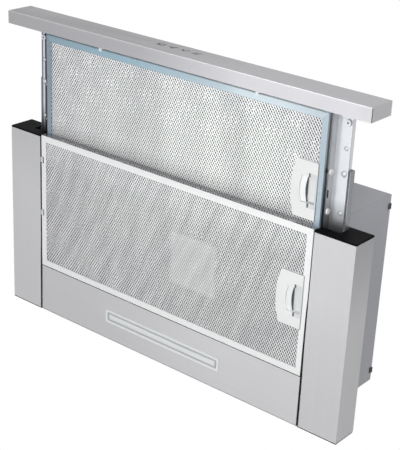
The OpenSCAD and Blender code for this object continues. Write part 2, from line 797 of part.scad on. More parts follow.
// Diamond openings in a quincunx, clear of the rim and the grip
module mesh_cut(y0, z0) {
    nx = floor((2 * (filter_x - rim_w) - strand) / mesh_pitch_x);
    ny = floor((filter_d - 2 * rim_w - strand) / mesh_pitch_y);
    a = (mesh_pitch_x - strand) / 2;
    b = (mesh_pitch_y - strand) / 2;
    for (i = [0:nx - 1], j = [0:ny - 1]) {
        x = (i - (nx - 1) / 2) * mesh_pitch_x;
        y = y0 + filter_d / 2 + (j - (ny - 1) / 2) * mesh_pitch_y;
        near_grip = x + a > grip_in - 2 && abs(y - y0 - filter_d / 2) < grip_l / 2 + b + 2;
        if (!near_grip)
            translate([x, y, z0]) linear_extrude(filter_t) polygon([[-a, 0], [0, -b], [a, 0], [0, b]]);
    }
}

// Grip: a plate with a bowed inner side and a finger recess
function bow(i, n) = let (t = 2 * i / n - 1) 5 * (1 - t * t);
module grip_outline(grow) {
    n = 12;
    h = grip_l / 2 + grow;
    polygon(concat(
        [[grip_out + grow, -h], [grip_out + grow, h]],
        [for (i = [0:n]) [grip_in + 5 - bow(i, n) - grow, h - 2 * h * i / n]]));
}
module grip_cut(y0, z0, grow) {
    translate([0, y0 + filter_d / 2, z0 - 1])
        linear_extrude(grip_h + gap / 2 + 1) grip_outline(grow + gap / 2);
}
module filter_grip(y0, z0) translate([0, y0 + filter_d / 2, z0]) difference() {
    translate([0, 0, -grip_proud]) linear_extrude(grip_h + grip_proud) grip_outline(0);
    // Recess that is open to below, and its room for the latch over the grip's skin
    translate([0, 0, -grip_proud - 1]) linear_extrude(recess_depth + grip_proud + 1)
        bowed(recess_in, recess_out, recess_l / 2);
    block([pull_x - latch_travel - gap, -recess_l / 2, skin_t], [recess_out, recess_l / 2, recess_depth]);
    block([recess_out - 1, -latch_w / 2 - gap, latch_floor - gap],
          [grip_out + 1, latch_w / 2 + gap, latch_floor + latch_t + gap]);
}

// An outline whose left-hand side is bowed, between two places across the hood
module bowed(x0, x1, half) {
    polygon(concat(
        [[x1, -half], [x1, half]],
        [for (i = [0:8]) [x0 + pull_bow - bow(i, 8) * pull_bow / 5, half * (1 - i / 4)]]));
}

// Latch: a slider in the grip with a bowed finger pull and a nose towards the keeper
module filter_latch(y0, z0, nose_x) translate([0, y0 + filter_d / 2, z0]) {
    half = recess_l / 2 - gap;
    block([pull_x, -half, latch_floor], [recess_out - gap, half, latch_floor + latch_t]);
    block([recess_out - 1, -latch_w / 2, latch_floor], [nose_x, latch_w / 2, latch_floor + latch_t]);
    translate([0, 0, skin_t + gap]) linear_extrude(latch_floor - skin_t - gap + eps) difference() {
        translate([pull_x, -half]) square([pull_w + pull_bow, 2 * half]);
        bowed(pull_x + pull_w, pull_x + 2 * pull_w, half + 1);
    }
}

module tray_filter_frame() color([0.72, 0.82, 0.87]) filter_frame(y_tray, tray_filter_z);
module tray_filter_mesh() color([0.80, 0.80, 0.80]) filter_mesh(y_tray, tray_filter_z);
module tray_filter_grip() color([0.94, 0.94, 0.93]) filter_grip(y_tray, tray_filter_z);
module tray_filter_latch() color([0.92, 0.92, 0.91]) filter_latch(y_tray, tray_filter_z, tray_latch_nose);

// The fixed filter also turns on two pins in notches at its left-hand edge
module hook_places() {
    for (y = [0, hook_pitch])
        translate([hinge_x, y_fixed + hook_first + y, fixed_filter_z + hinge_rise]) children();
}
module fixed_filter_frame() color([0.93, 0.94, 0.94]) {
    difference() {
        filter_frame(y_fixed, fixed_filter_z);
        hook_places() block([-hinge_inset - 1, -notch_l / 2, -hinge_rise - 1],
                            [notch_d - hinge_inset, notch_l / 2, filter_t]);
    }
    hook_places() bar_y(-notch_l / 2 - pin_end, notch_l / 2 + pin_end, hinge_pin_r);
}
module fixed_filter_mesh() color([0.80, 0.80, 0.80]) difference() {
    filter_mesh(y_fixed, fixed_filter_z);
    half = notch_l / 2 + pin_end + gap;
    hook_places() block([-hinge_inset - 1, -half, -hinge_rise - 1],
                        [notch_d - hinge_inset + gap, half, filter_t]);
}
module fixed_filter_grip() color([0.94, 0.94, 0.93]) filter_grip(y_fixed, fixed_filter_z);
module fixed_filter_latch() color([0.92, 0.92, 0.91]) filter_latch(y_fixed, fixed_filter_z, latch_nose);

// Hooks on the left-hand trim that carry the fixed filter's pins
module filter_hooks() color([0.60, 0.62, 0.64]) hook_places() {
    foot = -trim_in - hinge_x;
    low = -hinge_pin_r - gap - tongue_t;
    block([foot, 1 - notch_l / 2, low], [1, notch_l / 2 - 1, low + tongue_t]);
    block([foot, 1 - notch_l / 2, low], [foot + tongue_t, notch_l / 2 - 1, 4]);
}

// Clips and screws of the casing
module casing_clips() color([0.10, 0.10, 0.11]) both() {
    for (y = [y_body + case_clip_in, y_wall - case_clip_in])
        translate([case_x, y, 0]) {
            block([0, -case_clip_l / 2, case_h - case_clip_h], [sheet, case_clip_l / 2, case_h]);
            block([0, -case_clip_l / 2, case_h - case_clip_hook], [case_clip_out, case_clip_l / 2, case_h]);
        }
}
module pan_screw(r, l) {
    cylinder(r = 1.9 * r, h = 1.6);
    translate([0, 0, -l]) cylinder(r = r, h = l + eps);
}
module casing_screws() color([0.75, 0.76, 0.77]) {
    collar_screw_places() translate([0, 0, case_h + collar_t]) pan_screw(thread_r, 7);
    both() edge_screw_places() translate([0, 0, case_h]) pan_screw(thread_r, 4);
    both() trim_screw_places() translate([0, 0, trim_h]) pan_screw(trim_thread_r, 5);
}

// Fan housing: a scroll that opens upwards into the spigot, in two halves
function scroll_r(a) = scroll_max - (scroll_max - scroll_min) * a / 300;
function scroll_points(inset, top) = concat(
    [[scroll_max - inset, top]],
    [for (a = [0:10:290]) (scroll_r(a) - inset) * [cos(a), -sin(a)]],
    [[tongue_y + inset, (scroll_min - inset) * sin(60)], [tongue_y + inset, top]]);
module scroll(inset, x0, x1, top) {
    translate([x0, fan_y, fan_z]) rotate([90, 0, 90])
        linear_extrude(x1 - x0) polygon(scroll_points(inset, top - fan_z));
}
module fan_housing() difference() {
    union() {
        scroll(0, gap / 2, fan_half, under_top);
        at_fan() bar_x(fan_half - eps, fan_half + 5, inlet_r + 3);
        mouth_plate();
    }
    scroll(fan_wall, -1, fan_half - fan_wall, under_top + 1);
    at_fan() bar_x(0, fan_half + 10, inlet_r);
}
// Half of the plate round the scroll's mouth, screwed up under the casing's top
module mouth_plate() difference() {
    translate([0, spigot_y, under_top - mouth_t]) intersection() {
        cylinder(r = flange_d / 2, h = mouth_t);
        block([gap / 2, -flange_d, -1], [flange_d, flange_d, mouth_t + 1]);
    }
    collar_screw_places() translate([0, 0, under_top - mouth_t - 1]) cylinder(r = hole_r, h = mouth_t + 2);
}
module at_fan() translate([0, fan_y, fan_z]) children();
module fan_housing_left() color([0.90, 0.90, 0.88]) left() fan_housing();
// The right-hand half also carries the motor, on a ring with three arms
module fan_housing_right() color([0.90, 0.90, 0.88]) {
    fan_housing();
    at_fan() difference() {
        union() {
            bar_x(fan_half + 1, fan_half + 4, motor_r + 3);
            for (a = [90, 210, 330]) rotate([a, 0, 0])
                translate([fan_half + 1, -3, motor_r + 1]) cube([3, 6, inlet_r - motor_r]);
        }
        bar_x(fan_half, fan_half + 5, motor_r + running);
    }
}
module motor() color([0.55, 0.56, 0.58]) at_fan() difference() {
    union() {
        bar_x(motor_x, motor_x + motor_l, motor_r);
        bar_x(motor_x + motor_l - eps, motor_x + motor_l + 4, motor_r * 0.6);
    }
    bar_x(motor_x - 1, motor_x + motor_l / 2, shaft_r + running);
}
module motor_shaft() color([0.75, 0.76, 0.77]) at_fan() bar_x(-5, motor_x + motor_l / 2 - 1, shaft_r);

// Fan wheel: a disc with blades on both sides, tied by end rings
module impeller() color([0.20, 0.21, 0.22]) at_fan() difference() {
    union() {
        bar_x(-1, 1, wheel_r);
        bar_x(-3, motor_x - 3, shaft_r + 4);
        for (i = [0:blades - 1]) rotate([360 * i / blades, 0, 0])
            translate([-blade_half, -0.6, wheel_r - blade_l]) cube([2 * blade_half, 1.2, blade_l - 0.5]);
        for (s = [-1, 1]) translate([s * (blade_half - 1), 0, 0]) difference() {
            bar_x(-1, 1, wheel_r);
            bar_x(-2, 2, wheel_r - 3);
        }
    }
    bar_x(-4, motor_x, shaft_r + running / 2);
}

// Outlet: a flanged spigot with a bar across it that two damper flaps turn on
module outlet_collar() color([0.13, 0.13, 0.14]) translate([0, spigot_y, case_h]) difference() {
    union() {
        difference() {
            union() {
                cylinder(r = flange_d / 2, h = collar_t, $fn = 96);
                cylinder(r = spigot_r, h = spigot_h, $fn = 96);
            }
            translate([0, 0, -1]) cylinder(r = spigot_r - spigot_wall, h = spigot_h + 2, $fn = 96);
        }
        translate([0, 0, flap_z]) bar_y(-spigot_r + 1, spigot_r - 1, flap_bar_r);
        flap_seat();
    }
    for (a = [45:90:315]) rotate([0, 0, a])
        translate([collar_screw_at, 0, -1]) cylinder(r = hole_r, h = collar_t + 2);
}
module flap_seat() {
    z = flap_z - flap_t / 2 - gap - 1.5;
    difference() {
        translate([0, 0, z]) cylinder(r = spigot_r - 1, h = 1.5, $fn = 96);
        translate([0, 0, z - 1]) cylinder(r = flap_r - 2, h = 4, $fn = 96);
    }
}
module flap() {
    r0 = knuckle_r + 3 * gap;
    translate([0, spigot_y, flap_h]) difference() {
        union() {
            intersection() {
                translate([0, 0, -flap_t / 2]) cylinder(r = flap_r, h = flap_t, $fn = 96);
                block([r0, -flap_r, -flap_t], [flap_r, flap_r, flap_t]);
            }
            for (y = [-1.75 * knuckle_l, 2.75 * knuckle_l]) {
                bar_y(y, y + knuckle_l, knuckle_r);
                block([0, y, -flap_t / 2], [r0 + 1, y + knuckle_l, flap_t / 2]);
            }
        }
        bar_y(-flap_r - 2, flap_r + 2, flap_bar_r + running);
    }
}
module flap_right() color([0.16, 0.16, 0.17]) flap();
module flap_left() color([0.16, 0.16, 0.17]) translate([0, 2 * spigot_y, 0]) rotate([0, 0, 180]) flap();

// Terminal box, hung from the casing's top and closed by a lid below
module terminal_box() color([0.18, 0.18, 0.19]) translate([box_x, box_y, 0]) difference() {
    block([-box_w / 2, -box_d / 2, box_low], [box_w / 2, box_d / 2, under_top]);
    block([-box_w / 2 + box_wall, -box_d / 2 + box_wall, box_low - 1],
          [box_w / 2 - box_wall, box_d / 2 - box_wall, under_top + 1]);
}
module terminal_box_lid() color([0.22, 0.22, 0.23]) translate([box_x, box_y, box_low]) {
    block([-box_w / 2, -box_d / 2, -2], [box_w / 2, box_d / 2, 0]);
    difference() {
        block([-box_w / 2 + box_wall + gap, -box_d / 2 + box_wall + gap, -eps],
              [box_w / 2 - box_wall - gap, box_d / 2 - box_wall - gap, 4]);
        block([-box_w / 2 + 2 * box_wall + gap, -box_d / 2 + 2 * box_wall + gap, -1],
              [box_w / 2 - 2 * box_wall - gap, box_d / 2 - 2 * box_wall - gap, 5]);
    }
}
module cable_gland() color([0.12, 0.12, 0.13]) translate([box_x, box_y, 0]) difference() {
    union() {
        translate([0, 0, case_h]) cylinder(r = gland_neck + gland_flange, h = gland_flange);
        translate([0, 0, case_h + gland_flange - eps]) cylinder(r = gland_neck - 1, h = gland_top);
        translate([0, 0, top_z - gland_under]) cylinder(r = gland_neck, h = gland_under + sheet + 1);
        translate([0, 0, top_z - gland_nut]) cylinder(r = gland_neck + gland_flange, h = gland_nut);
    }
    translate([0, 0, top_z - gland_under - 1])
        cylinder(r = gland_bore, h = gland_under + gland_flange + gland_top + sheet + 3);
}
module motor_capacitor() color([0.85, 0.85, 0.83])
    translate([capacitor_x, box_y, under_top - capacitor_r]) {
        bar_x(-capacitor_l / 2, capacitor_l / 2, capacitor_r);
        bar_x(-capacitor_l / 2 - 6, -capacitor_l / 2 + eps, 3);
    }

casing_shell();
side_panel_left();
side_panel_right();
side_trim_left();
side_trim_right();
front_cap_left();
front_cap_right();
rear_cap_left();
rear_cap_right();
light_panel();
lamp_bezel();
lamp_lens();
lamp_reflector();
led_board();
slide_outer_left();
slide_outer_right();
fan_housing_left();
fan_housing_right();
motor();
outlet_collar();
terminal_box();
terminal_box_lid();
motor_capacitor();
cable_gland();
filter_hooks();
casing_clips();
casing_screws();
slide_middle_left();
slide_middle_right();
ball_cages_left();
ball_cages_right();
front_bar();
bar_end_left();
bar_end_right();
bar_back_plate();
control_board();
tray_rail_left();
tray_rail_right();
slide_inner_left();
slide_inner_right();
tray_rear_strip();
tray_filter_frame();
tray_filter_mesh();
tray_filter_grip();
tray_filter_latch();
filter_pads();
rail_fasteners();
front_clips();
fixed_filter_frame();
fixed_filter_mesh();
fixed_filter_grip();
fixed_filter_latch();
button_1();
button_2();
button_3();
button_4();
impeller();
motor_shaft();
flap_left();
flap_right();
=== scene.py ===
"""Looks of a telescopic range hood, drawn with its filter tray out.

Metres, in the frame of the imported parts: X is the width, -Y the room side, +Y the wall side and +Z up.
"""
import math

import bmesh
import bpy
from mathutils import Matrix, Vector


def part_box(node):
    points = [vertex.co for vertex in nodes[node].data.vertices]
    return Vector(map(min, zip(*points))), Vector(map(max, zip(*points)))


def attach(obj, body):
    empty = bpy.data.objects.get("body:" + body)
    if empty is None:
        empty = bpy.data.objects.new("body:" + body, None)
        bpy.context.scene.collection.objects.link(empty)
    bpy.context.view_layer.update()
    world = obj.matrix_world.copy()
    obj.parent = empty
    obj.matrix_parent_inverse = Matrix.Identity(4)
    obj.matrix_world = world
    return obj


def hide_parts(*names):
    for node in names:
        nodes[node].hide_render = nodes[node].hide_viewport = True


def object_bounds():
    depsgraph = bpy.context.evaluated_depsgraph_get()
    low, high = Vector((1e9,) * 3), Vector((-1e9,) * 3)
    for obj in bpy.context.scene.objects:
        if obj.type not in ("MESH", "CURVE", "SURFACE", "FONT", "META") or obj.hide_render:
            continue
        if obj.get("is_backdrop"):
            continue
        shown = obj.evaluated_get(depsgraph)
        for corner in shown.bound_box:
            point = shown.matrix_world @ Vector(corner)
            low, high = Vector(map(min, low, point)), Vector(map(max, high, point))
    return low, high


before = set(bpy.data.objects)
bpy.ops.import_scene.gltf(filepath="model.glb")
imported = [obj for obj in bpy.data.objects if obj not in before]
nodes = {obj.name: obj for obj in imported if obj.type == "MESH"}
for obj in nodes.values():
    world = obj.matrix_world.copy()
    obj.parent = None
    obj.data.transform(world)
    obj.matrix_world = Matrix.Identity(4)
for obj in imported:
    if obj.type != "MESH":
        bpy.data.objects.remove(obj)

cad_low, cad_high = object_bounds()

# Camera
# The photograph's view, from below, in front and to the right. Its frame is 400 by 450 pixels, and the lens
# was worked out from the lines of the bar, the trims and the filters.
camera_data = bpy.data.cameras.new("camera")
camera_data.lens = 96.34
camera_data.sensor_width = 36
camera = bpy.data.objects.new("camera", camera_data)
camera.location = (0.9529, -0.6261, -1.1220)
camera.rotation_euler = [math.radians(turn) for turn in (158.733, -39.535, -3.326)]
bpy.context.collection.objects.link(camera)
bpy.context.scene.camera = camera
bpy.context.scene.view_settings.view_transform = "Standard"

# Background and light
# A white room: what the camera, the metal and the glass see of it is plain white, and it lights the rest softly.
# Five soft lamps stand round it: two below, one in front, one behind, and a high one for the floor's shadow.
ROOM_FILL = 0.28


def maths(tree, operation, first, second=None, clamp=False):
    """One arithmetic step on numbers or other nodes' outputs."""
    node = tree.nodes.new("ShaderNodeMath")
    node.operation = operation
    node.use_clamp = clamp
    for socket, value in zip(node.inputs, (first, second)):
        if isinstance(value, bpy.types.NodeSocket):
            tree.links.new(value, socket)
        elif value is not None:
            socket.default_value = value
    return node.outputs[0]


def mix_shaders(tree, factor, first, second):
    """Mixes two shaders by another node's output."""
    mixed = tree.nodes.new("ShaderNodeMixShader")
    for source, socket in zip((factor, first, second), mixed.inputs):
        tree.links.new(source, socket)
    return mixed.outputs[0]


room = bpy.data.worlds.new("white_room")
bpy.context.scene.world = room
room.use_nodes = True
tree = room.node_tree
tree.nodes.clear()
rays = tree.nodes.new("ShaderNodeLightPath")
seen = maths(tree, "ADD", rays.outputs["Is Camera Ray"], rays.outputs["Is Glossy Ray"], clamp=True)
seen_through = maths(tree, "ADD", seen, rays.outputs["Is Transmission Ray"], clamp=True)
fill = tree.nodes.new("ShaderNodeBackground")
fill.inputs["Strength"].default_value = ROOM_FILL
white = tree.nodes.new("ShaderNodeBackground")
white.inputs["Color"].default_value = (1, 1, 1, 1)
chosen = mix_shaders(tree, seen_through, fill.outputs[0], white.outputs[0])
tree.links.new(chosen, tree.nodes.new("ShaderNodeOutputWorld").inputs["Surface"])


def soft_lamp(name, place, aim, size, watts):
    """A square area lamp at a place, turned towards another."""
    data = bpy.data.lights.new(name, "AREA")
    data.size = size
    data.energy = watts
    lamp = bpy.data.objects.new(name, data)
    lamp.location = place
    lamp.rotation_euler = (Vector(aim) - Vector(place)).to_track_quat("-Z", "Y").to_euler()
    lamp.visible_camera = False
    bpy.context.collection.objects.link(lamp)


soft_lamp("low_lamp", (0.6, -0.5, -1.0), (0.1, -0.05, 0), 0.7, 10.6)
soft_lamp("shine_lamp", (-0.45, 0.22, -1.1), (-0.1, 0.05, 0), 0.45, 2.5)
soft_lamp("front_lamp", (0.5, -1.2, 0.25), (0, -0.2, 0.05), 0.6, 2.2)
soft_lamp("high_lamp", (-0.7, 0.5, 1.9), (0, 0, 0), 1.0, 24)
soft_lamp("back_lamp", (0.6, 1.9, 0.7), (0, 0, 0.1), 1.0, 6)

# Floor
# A pale floor just under the hood, which fades into the white round it. The camera sees it only from above, so
# that it doesn't hide the underside, and it lets the light from below pass.
MM = 0.001
FLOOR_RADIUS = 14
FADE_START, FADE_END = 0.5, 1.3
FLOOR_Z = -0.4 * MM


def new_object(name, mesh, material):
    """Makes a finished object of a bmesh whose points are in their places."""
    data = bpy.data.meshes.new(name)
    mesh.to_mesh(data)
    mesh.free()
    made = bpy.data.objects.new(name, data)
    bpy.context.collection.objects.link(made)
    data.materials.append(material)
    return made


floor_mesh = bmesh.new()
bmesh.ops.create_circle(floor_mesh, cap_ends=True, segments=96, radius=FLOOR_RADIUS)
bmesh.ops.translate(floor_mesh, verts=floor_mesh.verts, vec=(0, 0, FLOOR_Z))
floor_material = bpy.data.materials.new("pale_floor")
floor_material.use_nodes = True
tree = floor_material.node_tree
tree.nodes.clear()
rays = tree.nodes.new("ShaderNodeLightPath")
side = tree.nodes.new("ShaderNodeNewGeometry")
from_above = maths(tree, "SUBTRACT", rays.outputs["Is Camera Ray"], side.outputs["Backfacing"], clamp=True)
paint = tree.nodes.new("ShaderNodeBsdfDiffuse")
paint.inputs["Color"].default_value = (0.86, 0.86, 0.86, 1)
far_off = tree.nodes.new("ShaderNodeVectorMath")
far_off.operation = "LENGTH"
tree.links.new(tree.nodes.new("ShaderNodeTexCoord").outputs["Object"], far_off.inputs[0])
fade = tree.nodes.new("ShaderNodeMapRange")
fade.interpolation_type = "SMOOTHSTEP"
fade.inputs["From Min"].default_value = FADE_START
fade.inputs["From Max"].default_value = FADE_END
tree.links.new(far_off.outputs["Value"], fade.inputs["Value"])
glow = tree.nodes.new("ShaderNodeEmission")
glow.inputs["Color"].default_value = (1, 1, 1, 1)
faded_floor = mix_shaders(tree, fade.outputs["Result"], paint.outputs[0], glow.outputs[0])
clear = tree.nodes.new("ShaderNodeBsdfTransparent")
shown = mix_shaders(tree, from_above, clear.outputs[0], faded_floor)
tree.links.new(shown, tree.nodes.new("ShaderNodeOutputMaterial").inputs["Surface"])
floor = new_object("floor", floor_mesh, floor_material)
floor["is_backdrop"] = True


# Side trims
# Two profiles folded from brushed stainless sheet, one on each side of the filters, screwed up into the casing's
# flanges. They are brushed along their length.
def tone(red, green, blue):
    """The linear colour of 8-bit values."""
    return [((v / 255 + 0.055) / 1.055) ** 2.4 for v in (red, green, blue)] + [1]


def start_group(name, inputs, outputs):
    """A shader node group with its sockets, and its input and output nodes."""
    group = bpy.data.node_groups.new(name, "ShaderNodeTree")
    for label, kind, value in inputs:
        group.interface.new_socket(label, in_out="INPUT", socket_type=kind).default_value = value
    for label in outputs:
        group.interface.new_socket(label, in_out="OUTPUT", socket_type="NodeSocketFloat")
    return group, group.nodes.new("NodeGroupInput"), group.nodes.new("NodeGroupOutput")


def noise(tree, vector, scale, detail, roughness=0.5):
    """A noise texture read at a vector. Its first output is the value."""
    texture = tree.nodes.new("ShaderNodeTexNoise")
    texture.inputs["Scale"].default_value = scale
    texture.inputs["Detail"].default_value = detail
    texture.inputs["Roughness"].default_value = roughness
    tree.links.new(vector, texture.inputs["Vector"])
    return texture.outputs[0]


def vector_math(tree, operation, first, second):
    """A vector operation on another node's output and a constant or output."""
    node = tree.nodes.new("ShaderNodeVectorMath")
    node.operation = operation
    tree.links.new(first, node.inputs[0])
    if isinstance(second, bpy.types.NodeSocket):
        tree.links.new(second, node.inputs[1])
    elif second is not None:
        node.inputs[1].default_value = second
    return node


# Brushing: lines drawn out along one way, and slow clouds of sheen across the sheet
brushing, given, out = start_group(
    "brushing", [("Stretch", "NodeSocketVector", (2, 220, 220)), ("Cloud Scale", "NodeSocketFloat", 7)],
    ["Lines", "Clouds"])
place = brushing.nodes.new("ShaderNodeTexCoord").outputs["Object"]
stretched = vector_math(brushing, "MULTIPLY", place, given.outputs["Stretch"]).outputs[0]
brushing.links.new(noise(brushing, stretched, 1, 6, 0.68), out.inputs["Lines"])
clouds = noise(brushing, place, 7, 2)
brushing.links.new(given.outputs["Cloud Scale"], clouds.node.inputs["Scale"])
brushing.links.new(clouds, out.inputs["Clouds"])

# Line mask: 1 on a straight line through a place, fading out at a reach. Along is 0 on the line's own axis.
line_mask, given, out = start_group(
    "line_mask", [("Place", "NodeSocketVector", (0, 0, 0)), ("Along", "NodeSocketVector", (0, 1, 1)),
                  ("Core", "NodeSocketFloat", 0.0005), ("Reach", "NodeSocketFloat", 0.001)], ["Mask"])
place = line_mask.nodes.new("ShaderNodeTexCoord").outputs["Object"]
offset = vector_math(line_mask, "SUBTRACT", place, given.outputs["Place"]).outputs[0]
across = vector_math(line_mask, "MULTIPLY", offset, given.outputs["Along"]).outputs[0]
away = vector_math(line_mask, "LENGTH", across, None).outputs["Value"]
faded = line_mask.nodes.new("ShaderNodeMapRange")
faded.interpolation_type = "SMOOTHSTEP"
faded.inputs["To Min"].default_value = 1
faded.inputs["To Max"].default_value = 0
line_mask.links.new(away, faded.inputs["Value"])
line_mask.links.new(given.outputs["Core"], faded.inputs["From Min"])
line_mask.links.new(given.outputs["Reach"], faded.inputs["From Max"])
line_mask.links.new(faded.outputs["Result"], out.inputs["Mask"])


def surface(name, colour, roughness, metallic=0.0, specular=0.5):
    """A material with a Principled shader, and its tree and shader."""
    material = bpy.data.materials.new(name)
    material.use_nodes = True
    material.diffuse_color = colour
    shader = material.node_tree.nodes["Principled BSDF"]
    shader.inputs["Base Color"].default_value = colour
    shader.inputs["Roughness"].default_value = roughness
    shader.inputs["Metallic"].default_value = metallic
    shader.inputs["Specular IOR Level"].default_value = specular
    return material, material.node_tree, shader


def group_node(tree, group, **values):
    """Places a node group in a material with its own values."""
    node = tree.nodes.new("ShaderNodeGroup")
    node.node_tree = group
    for label, value in values.items():
        node.inputs[label.replace("_", " ")].default_value = value
    return node


def between(tree, value, low, high, from_low=0.3, from_high=0.7):
    """Maps the middle range of a noise to a range of numbers."""
    mapped = tree.nodes.new("ShaderNodeMapRange")
    for label, number in (("From Min", from_low), ("From Max", from_high), ("To Min", low), ("To Max", high)):
        mapped.inputs[label].default_value = number
    tree.links.new(value, mapped.inputs["Value"])
    return mapped.outputs["Result"]


def blend_colours(tree, factor, first, second):
    """Mixes two colours, each a constant or another node's output, by a mask."""
    mixed = tree.nodes.new("ShaderNodeMix")
    mixed.data_type = "RGBA"
    tree.links.new(factor, mixed.inputs["Factor"])
    for socket, colour in ((mixed.inputs[6], first), (mixed.inputs[7], second)):
        if isinstance(colour, bpy.types.NodeSocket):
            tree.links.new(colour, socket)
        else:
            socket.default_value = colour
    return mixed.outputs[2]


def raise_surface(tree, shader, height, strength, distance):
    """Feeds a height through a Bump node to the shader."""
    bump = tree.nodes.new("ShaderNodeBump")
    bump.inputs["Strength"].default_value = strength
    bump.inputs["Distance"].default_value = distance
    tree.links.new(height, bump.inputs["Height"])
    tree.links.new(bump.outputs["Normal"], shader.inputs["Normal"])


def shaded(colour, share):
    """A colour made lighter or darker by a share."""
    return [c * share for c in colour[:3]] + [1]


def along_axis(tree, axis, start, end):
    """A mask that is 1 up to start along an axis, and 0 from end on."""
    parts = tree.nodes.new("ShaderNodeSeparateXYZ")
    tree.links.new(tree.nodes.new("ShaderNodeTexCoord").outputs["Object"], parts.inputs[0])
    return between(tree, parts.outputs[axis], 1, 0, start, end)


def lay_over(material, mask, colour):
    """Blends a colour over a material's own, where a mask in its tree is 1."""
    tree = material.node_tree
    base = tree.nodes["Principled BSDF"].inputs["Base Color"]
    tree.links.new(blend_colours(tree, mask, base.links[0].from_socket, colour), base)


def paint_shade_along(material, axis, start, end, share):
    """Paints shade: multiplies a material's colour by a share up to start along an axis, and leaves it alone from
    end on.
    """
    tree = material.node_tree
    colour = tree.nodes["Principled BSDF"].inputs["Base Color"]
    darker = blend_colours(tree, along_axis(tree, axis, start, end), colour.links[0].from_socket,
                           [share, share, share, 1])
    darker.node.blend_type = "MULTIPLY"
    tree.links.new(darker, colour)


def paint_lines(material, lines):
    """Lays lines over a material's colour: each has a place, the axes across it, its core, reach and colour."""
    for at, axes, core, reach, colour in lines:
        line = group_node(material.node_tree, line_mask, Place=at, Along=axes, Core=core * MM, Reach=reach * MM)
        lay_over(material, line.outputs["Mask"], colour)


def sheet_metal(name, colour, stretch, roughness=0.4, metallic=0.3, contrast=0.022, cloud_scale=7, lines=()):
    """Brushed or rolled sheet. stretch holds the brush lines per metre along X, Y and Z."""
    material, tree, shader = surface(name, colour, roughness, metallic)
    marks = group_node(tree, brushing, Stretch=stretch, Cloud_Scale=cloud_scale)
    brushed = between(tree, marks.outputs["Lines"], 0, 1)
    lined = blend_colours(tree, brushed, shaded(colour, 1 - contrast), shaded(colour, 1 + contrast))
    sheen = between(tree, marks.outputs["Clouds"], 0, 0.5)
    tree.links.new(blend_colours(tree, sheen, lined, shaded(colour, 1 + 1.5 * contrast)),
                   shader.inputs["Base Color"])
    tree.links.new(between(tree, marks.outputs["Clouds"], roughness - 0.05, roughness + 0.05),
                   shader.inputs["Roughness"])
    raise_surface(tree, shader, marks.outputs["Lines"], 0.2, 0.02 * MM)
    paint_lines(material, lines)
    return material


MERGE_REACH, FLAT_ANGLE, EDGE_ANGLE = 0.002 * MM, math.radians(0.5), math.radians(35)


def dress(names, material, edge=0.0, segments=2):
    """Gives CAD nodes their material, and rounds their edges by a radius in millimetres."""
    for name in names:
        piece = nodes[name]
        if not piece.material_slots:
            piece.data.materials.append(material)
        for slot in piece.material_slots:
            slot.material = material
        if edge:
            weld = piece.modifiers.new("weld", "WELD")
            weld.merge_threshold = MERGE_REACH
            flat = piece.modifiers.new("flat", "DECIMATE")
            flat.decimate_type = "DISSOLVE"
            flat.angle_limit = FLAT_ANGLE
            rounded = piece.modifiers.new("rounded", "BEVEL")
            rounded.width = edge * MM
            rounded.segments = segments
            rounded.angle_limit = EDGE_ANGLE
            rounded.harden_normals = True


def sides(name):
    """The names of a node's two sides."""
    return [name + "_left", name + "_right"]


ALONG_Y = (240, 1.5, 240)
STAINLESS = tone(200, 200, 202)
SHADOW = tone(26, 26, 28)
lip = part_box("side_trim_right")[0]
lip_insides = []
for side in (-1, 1):
    lip_insides += [((side * lip.x, 10 * MM, lip.z + 1.6 * MM), (1, 0.008, 1), 1.2, 1.5, SHADOW),
                    ((side * lip.x, cad_high.y, lip.z), (1, 0.012, 1), 0.9, 1.6, SHADOW)]
trim_steel = sheet_metal("stainless_along_y", STAINLESS, ALONG_Y, lines=lip_insides)
# Painted shade: the trims are darker towards their front ends
paint_shade_along(trim_steel, "Y", start=-0.055, end=0.03, share=0.91)
# Painted shade: the right-hand trim's outer side is darker near its front end
tree = trim_steel.node_tree
right_side = along_axis(tree, "X", start=0.2964, end=0.2956)
near_front = maths(tree, "MULTIPLY", right_side, along_axis(tree, "Y", start=-0.05, end=0.06))
lay_over(trim_steel, near_front, tone(170, 170, 173))
dress(sides("side_trim"), trim_steel, edge=0.35)

# Light panel
# A folded tray of the same stainless sheet between the trims, brushed across the hood. The lamp snaps into it.
ALONG_X = (1.5, 240, 240)
panel_low, panel_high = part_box("light_panel")
front_fold = ((0, panel_low.y, panel_low.z + 1.4 * MM), (0, 1, 1), 1.3, 1.5, SHADOW)
side_fold = ((panel_high.x, 0, panel_low.z + 1.4 * MM), (1, 0, 1), 1.5, 1.9, SHADOW)
panel_steel = sheet_metal("stainless_along_x", tone(207, 207, 209), ALONG_X, lines=[front_fold, side_fold])
# Painted shade: the panel is darker towards its left-hand end
paint_shade_along(panel_steel, "X", start=-0.08, end=0.12, share=0.89)
dress(["light_panel"], panel_steel, edge=0.3)

# End caps
# Plugs of black plastic in the trims' ends. The slides run out through the front ones.
grain, given, out = start_group(
    "moulded_grain", [("Scale", "NodeSocketFloat", 1800)], ["Grain", "Rub"])
place = grain.nodes.new("ShaderNodeTexCoord").outputs["Object"]
pores = noise(grain, place, 1800, 2, 0.6)
grain.links.new(given.outputs["Scale"], pores.node.inputs["Scale"])
grain.links.new(pores, out.inputs["Grain"])
grain.links.new(noise(grain, place, 26, 3), out.inputs["Rub"])


